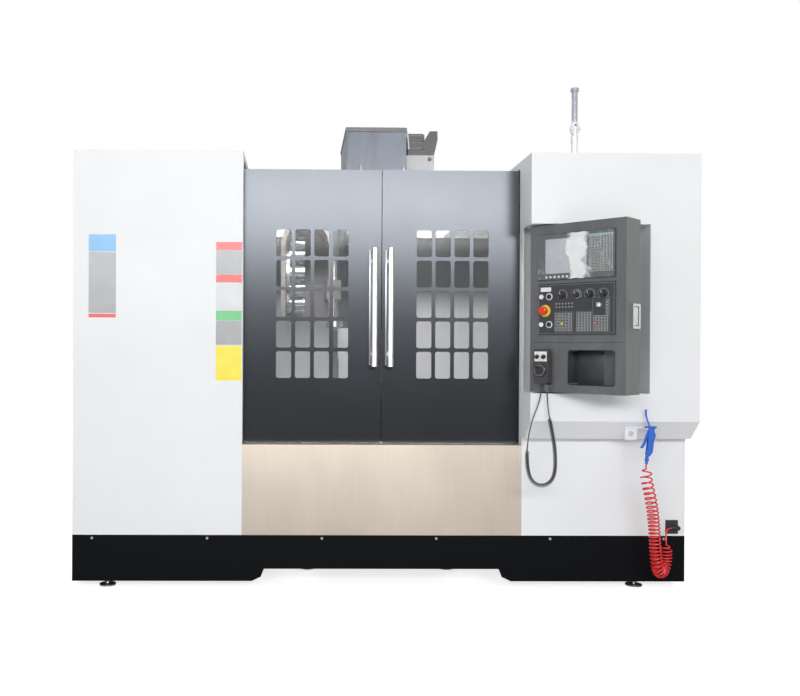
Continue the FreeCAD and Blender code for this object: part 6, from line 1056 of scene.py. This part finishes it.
    def film(self):
        """Protective film left on the display unit: large and small puffs that die out at its wavy edges."""
        columns, rows = 44, 26
        left, right, bottom, top = self.film_edges
        shape = Shape(control_face(0.0, 0.0, self.unit_front + 4.6))
        lines = []
        for i in range(columns + 1):
            line = []
            for k in range(rows + 1):
                a, b = i / columns, k / rows
                edge = min(a, 1 - a, b, 1 - b)
                puff = 1.5 * math.sin(9.0 * a + 5.0 * b) * math.sin(14.0 * b - 4.0 * a)
                puff += 0.8 * math.sin(37.0 * a + 23.0 * b) * math.sin(31.0 * b - 11.0 * a)
                rise = 2.0 + puff * min(edge * 12.0, 1.0) * 0.8
                wave = 1.4 * math.sin(40.0 * (a + b)) if edge == 0 else 0.0
                u = left + (right - left) * a + wave
                v = bottom + (top - bottom) * b + wave
                line.append(shape.mesh.verts.new((u, v, rise)))
            lines.append(line)
        for near, far in zip(lines[:-1], lines[1:]):
            for k in range(rows):
                shape.mesh.faces.new([near[k], far[k], far[k + 1], near[k + 1]])
        shape.finished("display_film", "film", "control_box", "unit_grey", 60.0)

    def pocket_shade_lining(self):
        """Black lining on the pocket's floor, top, left wall and most of its back: painted shade in the
        recess.
        """
        left, bottom, top, lip, sheet = 197.0, 39.0, 198.0, -3.0, 1.6
        shape = Shape(control_face())
        for v in (bottom - sheet, top):
            shape.box(202.0, 419.0, v, v + sheet, -82.0, lip, 0.4)
        shape.box(left - sheet, left, bottom, top, -89.0, lip, 0.4)
        shape.box(left, 330.0, bottom, top, -89.6, -88.4, 0.3)
        shape.finished("pocket_shade_lining", "panel_black", "control_box", "cord_black")


# ------------------------------------------------------------------ pendant
class MACHINE_OT_pendant(bpy.types.Operator):
    """Face plate, dial rim, dial marks and selector marks of the hand-held pendant"""

    bl_idname = "machine.pendant"
    bl_label = "Pendant"

    front = 54.0
    gap = 0.3
    dial_place = (87.0, 104.0)
    dial_height = 12.0
    selectors = {"pendant_axis_selector": 70.0, "pendant_rate_selector": 104.0}
    selector_row = 168.0
    selector_height = 14.0

    def execute(self, context):
        self.face_plate()
        self.dial(context.scene.machine_sizes.dial_marks)
        self.selector_marks()
        return {"FINISHED"}

    def face_plate(self):
        """Bare white plate under the selectors."""
        shape = Shape(control_face()).box(55.0, 119.0, 146.0, 192.0, self.front, self.front + 0.2)
        shape.finished("pendant_plate", "mark_white", "control_box", "pendant_grey")

    def dial(self, count):
        """Grey rim with white graduations on the hand wheel."""
        top = self.front + self.gap + self.dial_height
        rim = [(21.0, 0), (28.0, 0), (27.6, 0.5), (21.0, 0.5)]
        washer("dial_rim", "pendant_grey", (*self.dial_place, top), rim, 64, "pendant_dial", "key_chrome")
        step = 2 * math.pi / count
        values = {"Count": count, "Radius": 24.6, "Start": 0.0, "Step": step, "Mark": (3.2, 0.5, 0.2)}
        matrix = control_face(*self.dial_place, top + 0.55)
        grown("dial_marks", mark_ring_tree(), values, "mark_white", "pendant_dial", matrix)

    def selector_marks(self):
        """White pointers on the tops of the two selectors."""
        top = self.front + self.gap + self.selector_height
        for node, u in self.selectors.items():
            shape = Shape(control_face(u, self.selector_row, top)).box(-0.8, 0.8, 2.0, 8.6, 0.0, 0.3)
            shape.finished(node + "_mark", "mark_white", node, "knob_black")


# ------------------------------------------------------------------ head
class MACHINE_OT_head(bpy.types.Operator):
    """Hose, plate bolt, the carrier's painted highlight ribs and the cover's lip and studs"""

    bl_idname = "machine.head"
    bl_label = "Head's trim"

    cover_right = 187.0
    lip_height = 24.0
    stud_places = (-64.0, 170.0)
    stud_bottom = 2140.0
    # Heights of the painted highlight ribs below the carrier's top.
    highlight_rib_drops = (26.0, 62.0, 96.0)
    hose_place = (193.0, 554.0)
    hose_radius = 5.0
    bolt_place = (318.0, 550.0, 2222.0)

    def execute(self, context):
        self.hose()
        self.plate_bolt()
        self.cover_edges()
        self.carrier_highlight_ribs()
        return {"FINISHED"}

    def cover_edges(self):
        """Dark folded lip, corner strip and two bright studs on the cover's front."""
        low, high = drawn("head_cover")
        left, back, under = low.x + 1.0, low.y + 2.0, high.z - self.lip_height
        shape = Shape().box(left, self.cover_right, low.y - 1.6, back, under, high.z - 1.0, 0.6, 1)
        shape.box(left, left + 8.0, low.y - 1.4, back, low.z + 4.0, under, 0.5, 1)
        shape.finished("cover_lip", "lip_black", "head", "guard_paint")
        stud_profile = [(0, 0), (6, 0), (6, 22), (2.6, 46), (0, 47)]
        front, z = low.y - 7.0, self.stud_bottom
        for number, x in enumerate(self.stud_places, 1):
            stud = Shape().turned(stud_profile, (x, front, z))
            stud.box(x - 5.0, x + 5.0, front, low.y + 1.0, z + 2.0, z + 12.0, 0.8)
            stud.finished("cover_stud_%d" % number, "key_chrome", "head", "guard_paint")

    def carrier_highlight_ribs(self):
        """Grey ribs on the edges of the carrier's links where they catch the light: painted highlights."""
        low, high = drawn("cable_carrier")
        shape = Shape()
        for drop in self.highlight_rib_drops:
            z = high.z - drop
            shape.box(low.x + 6.0, low.x + 84.0, low.y - 1.2, low.y + 3.0, z - 3.0, z + 3.0, 0.8, 1)
        shape.finished("carrier_highlight_ribs", "unit_grey", "head", "carrier_black")

    def hose(self):
        """White hose that curves down from the cover beside the carrier."""
        x, y = self.hose_place
        top = drawn("head_cover")[1].z - 14.0
        out, drop, stretch, steps = 9.0, 26.0, 6.0, 12
        points = []
        for i in range(steps + 1):
            angle = math.pi / 2 * i / steps
            down = drop * (1 - math.cos(angle)) + stretch * i
            points.append((x + out * math.sin(angle), y, top - down))
        shape = Shape().tube(points, self.hose_radius)
        shape.finished("head_hose", "lamp_white", "head", "guard_paint")

    def plate_bolt(self):
        """Six-sided bolt head on the side plate."""
        shape = Shape().turned([(0, 0), (11, 0), (11, 6), (9.5, 8), (0, 8)], self.bolt_place, (0, -1, 0), 6)
        shape.finished("plate_bolt", "motor_black", "head", "motor_black")


# ------------------------------------------------------------------ cords
def smooth_line(name, points, resolution):
    """A curve of one open spline that has the points as its control points."""
    curve = bpy.data.curves.new(name, "CURVE")
    curve.dimensions = "3D"
    curve.resolution_u = resolution
    spline = curve.splines.new("NURBS")
    spline.points.add(len(points) - 1)
    for knot, point in zip(spline.points, points):
        knot.co = (*point, 1.0)
    spline.order_u = 3
    spline.use_endpoint_u = True
    return bpy.data.objects.new(name, curve)


class Line:
    """The smooth line of a route in metres, read by length from its own spline."""

    def __init__(self, route):
        mesh = baked(smooth_line("route", [place(*point) for point in route], 24))
        self.points = [vertex.co.copy() for vertex in mesh.vertices]
        bpy.data.meshes.remove(mesh)
        self.lengths = [0.0]
        for a, b in zip(self.points[:-1], self.points[1:]):
            self.lengths.append(self.lengths[-1] + (b - a).length)
        self.length = self.lengths[-1]

    def at(self, distance):
        """The point at a distance along the line, and the way the line goes there."""
        distance = min(max(distance, 0.0), self.length)
        low = min(bisect.bisect_right(self.lengths, distance), len(self.lengths) - 1) - 1
        share = (distance - self.lengths[low]) / max(self.lengths[low + 1] - self.lengths[low], 1e-9)
        a, b = self.points[low], self.points[low + 1]
        before = self.points[max(low - 1, 0)]
        after = self.points[min(low + 2, len(self.points) - 1)]
        way = (b - before).lerp(after - a, share).normalized()
        return a.lerp(b, share), way

    def plain(self, start, end, apart=0.015):
        """Points from one length to another, about so far apart, without the last."""
        count = max(int((end - start) / apart), 3)
        return [self.at(start + (end - start) * i / count)[0] for i in range(count)]


def curl_points(line, start, end, radius, pitches, per_turn=16):
    """Points of a curly cord: plain to the coil, round its turns, plain to the end."""
    span = end - start

    def pitch(share):
        for (s0, p0), (s1, p1) in zip(pitches[:-1], pitches[1:]):
            if share <= s1:
                return p0 + (p1 - p0) * (share - s0) / (s1 - s0)
        return pitches[-1][1]

    steps = 400
    turned = [0.0]
    for i in range(steps):
        turned.append(turned[-1] + span / steps / pitch((i + 0.5) / steps))
    turns = round(turned[-1])
    stretch = turns / turned[-1]
    points = line.plain(0.0, start)
    step = 0
    for n in range(turns * per_turn + 1):
        turn = n / per_turn
        goal = turn / stretch
        while step < steps - 1 and turned[step + 1] < goal:
            step += 1
        part = (goal - turned[step]) / (turned[step + 1] - turned[step])
        centre, way = line.at(start + (step + part) / steps * span)
        side = Vector((0, -1, 0)).cross(way).normalized()
        front = way.cross(side)
        swell = min(turn, turns - turn, 1.0)
        swell = swell * swell * (3 - 2 * swell)
        angle = 2 * math.pi * turn
        points.append(centre + (side * math.cos(angle) + front * math.sin(angle)) * radius * swell)
    return points + line.plain(end, line.length)[1:] + [line.at(line.length)[0]]


def cord_piece(name, points, diameter, finish):
    """A round cord that follows the given points."""
    piece = smooth_line(name, points, 2)
    piece.data.bevel_depth = diameter / 2
    piece.data.bevel_resolution = 3
    piece.data.use_fill_caps = True
    piece.data.materials.append(FINISHES[finish])
    return piece


class MACHINE_OT_cords(bpy.types.Operator):
    """The pendant's curly cord and the coiled air hose"""

    bl_idname = "machine.cords"
    bl_label = "Cords"

    cord_route = (
        (739.2, -168.2, 992.0),
        (739.2, -168.2, 960.0),
        (722.0, -170.0, 905.0),
        (697.0, -173.0, 845.0),
        (682.0, -177.0, 789.0),
        (673.0, -182.0, 735.0),
        (668.0, -188.0, 680.0),
        (669.0, -192.0, 628.0),
        (676.0, -195.0, 585.0),
        (692.0, -197.0, 555.0),
        (719.0, -198.0, 538.0),
        (751.0, -198.0, 538.0),
        (779.0, -197.0, 556.0),
        (795.0, -196.0, 588.0),
        (800.0, -195.0, 640.0),
        (797.0, -194.0, 704.0),
        (788.0, -192.0, 768.0),
        (777.0, -188.0, 830.0),
        (770.0, -180.0, 884.0),
        (766.4, -173.9, 944.0),
        (766.4, -173.9, 976.0),
    )
    cord_pitches = ((0.0, 17.0), (0.04, 9.2), (0.5, 9.0), (0.96, 9.2), (1.0, 17.0))
    hose_route = (
        (1235.0, -176.0, 636.2),
        (1232.0, -176.0, 606.0),
        (1237.0, -175.0, 560.0),
        (1256.0, -168.0, 490.0),
        (1273.0, -158.0, 420.0),
        (1284.0, -150.0, 350.0),
        (1290.0, -145.0, 280.0),
        (1296.0, -142.0, 208.0),
        (1303.0, -139.0, 150.0),
        (1313.5, -128.5, 123.5),
        (1332.0, -110.0, 108.0),
        (1354.0, -88.0, 108.0),
        (1372.5, -69.5, 123.5),
        (1383.0, -59.0, 152.0),
        (1385.0, -57.0, 208.0),
        (1385.0, -54.0, 256.0),
        (1391.0, -38.0, 290.0),
        (1406.0, -26.0, 304.0),
        (1428.0, -26.0, 304.0),
    )
    hose_pitches = (
        (0.0, 32.0),
        (0.35, 18.0),
        (0.6, 17.0),
        (0.7, 18.5),
        (0.82, 16.0),
        (0.95, 16.0),
        (1.0, 26.0),
    )

    def execute(self, context):
        curls = (0.296, 0.854, 0.007, self.cord_pitches)
        self.cord("curly_cord", self.cord_route, curls, 0.006, "cord_black", "control_box", "pendant_cord")
        coil = (0.012, 0.728, 0.025, self.hose_pitches)
        self.cord("coiled_hose", self.hose_route, coil, 0.007, "hose_red", "machine", "air_hose")
        return {"FINISHED"}

    def cord(self, name, route, coil, diameter, finish, body, node):
        """One cord: its coil is start, end and radius in metres, and pitches in mm by share of its span."""
        start, end, radius, pitches = coil
        metres = [(share, pitch * MM) for share, pitch in pitches]
        points = curl_points(Line(route), start, end, radius, metres)
        piece = cord_piece(name, points, diameter, finish)
        joined_to_machine(piece, body)
        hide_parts(node)


# ------------------------------------------------------------------ panel and run
class MACHINE_PT_machine(bpy.types.Panel):
    """Lists the machine's steps, sizes and colours"""

    bl_label = "Machining centre"
    bl_idname = "MACHINE_PT_machine"
    bl_space_type = "VIEW_3D"
    bl_region_type = "UI"
    bl_category = "Machine"

    def draw(self, context):
        for group in (context.scene.machine_sizes, context.scene.machine_colours):
            column = self.layout.column()
            for name in group.bl_rna.properties.keys():
                if name not in ("rna_type", "name"):
                    column.prop(group, name)
        for step in STEPS:
            self.layout.operator(step.bl_idname)


STEPS = (
    MACHINE_OT_stage,
    MACHINE_OT_finishes,
    MACHINE_OT_guards,
    MACHINE_OT_doors,
    MACHINE_OT_control_box,
    MACHINE_OT_pendant,
    MACHINE_OT_head,
    MACHINE_OT_cords,
)
CLASSES = (MachineSizes, MachineColours, MACHINE_PT_machine) + STEPS


def register():
    for item in CLASSES:
        bpy.utils.register_class(item)
    bpy.types.Scene.machine_sizes = bpy.props.PointerProperty(type=MachineSizes)
    bpy.types.Scene.machine_colours = bpy.props.PointerProperty(type=MachineColours)


def unregister():
    del bpy.types.Scene.machine_colours
    del bpy.types.Scene.machine_sizes
    for item in reversed(CLASSES):
        bpy.utils.unregister_class(item)


def main():
    register()
    for step in STEPS:
        group, name = step.bl_idname.split(".")
        getattr(getattr(bpy.ops, group), name)()


if __name__ == "__main__":
    main()
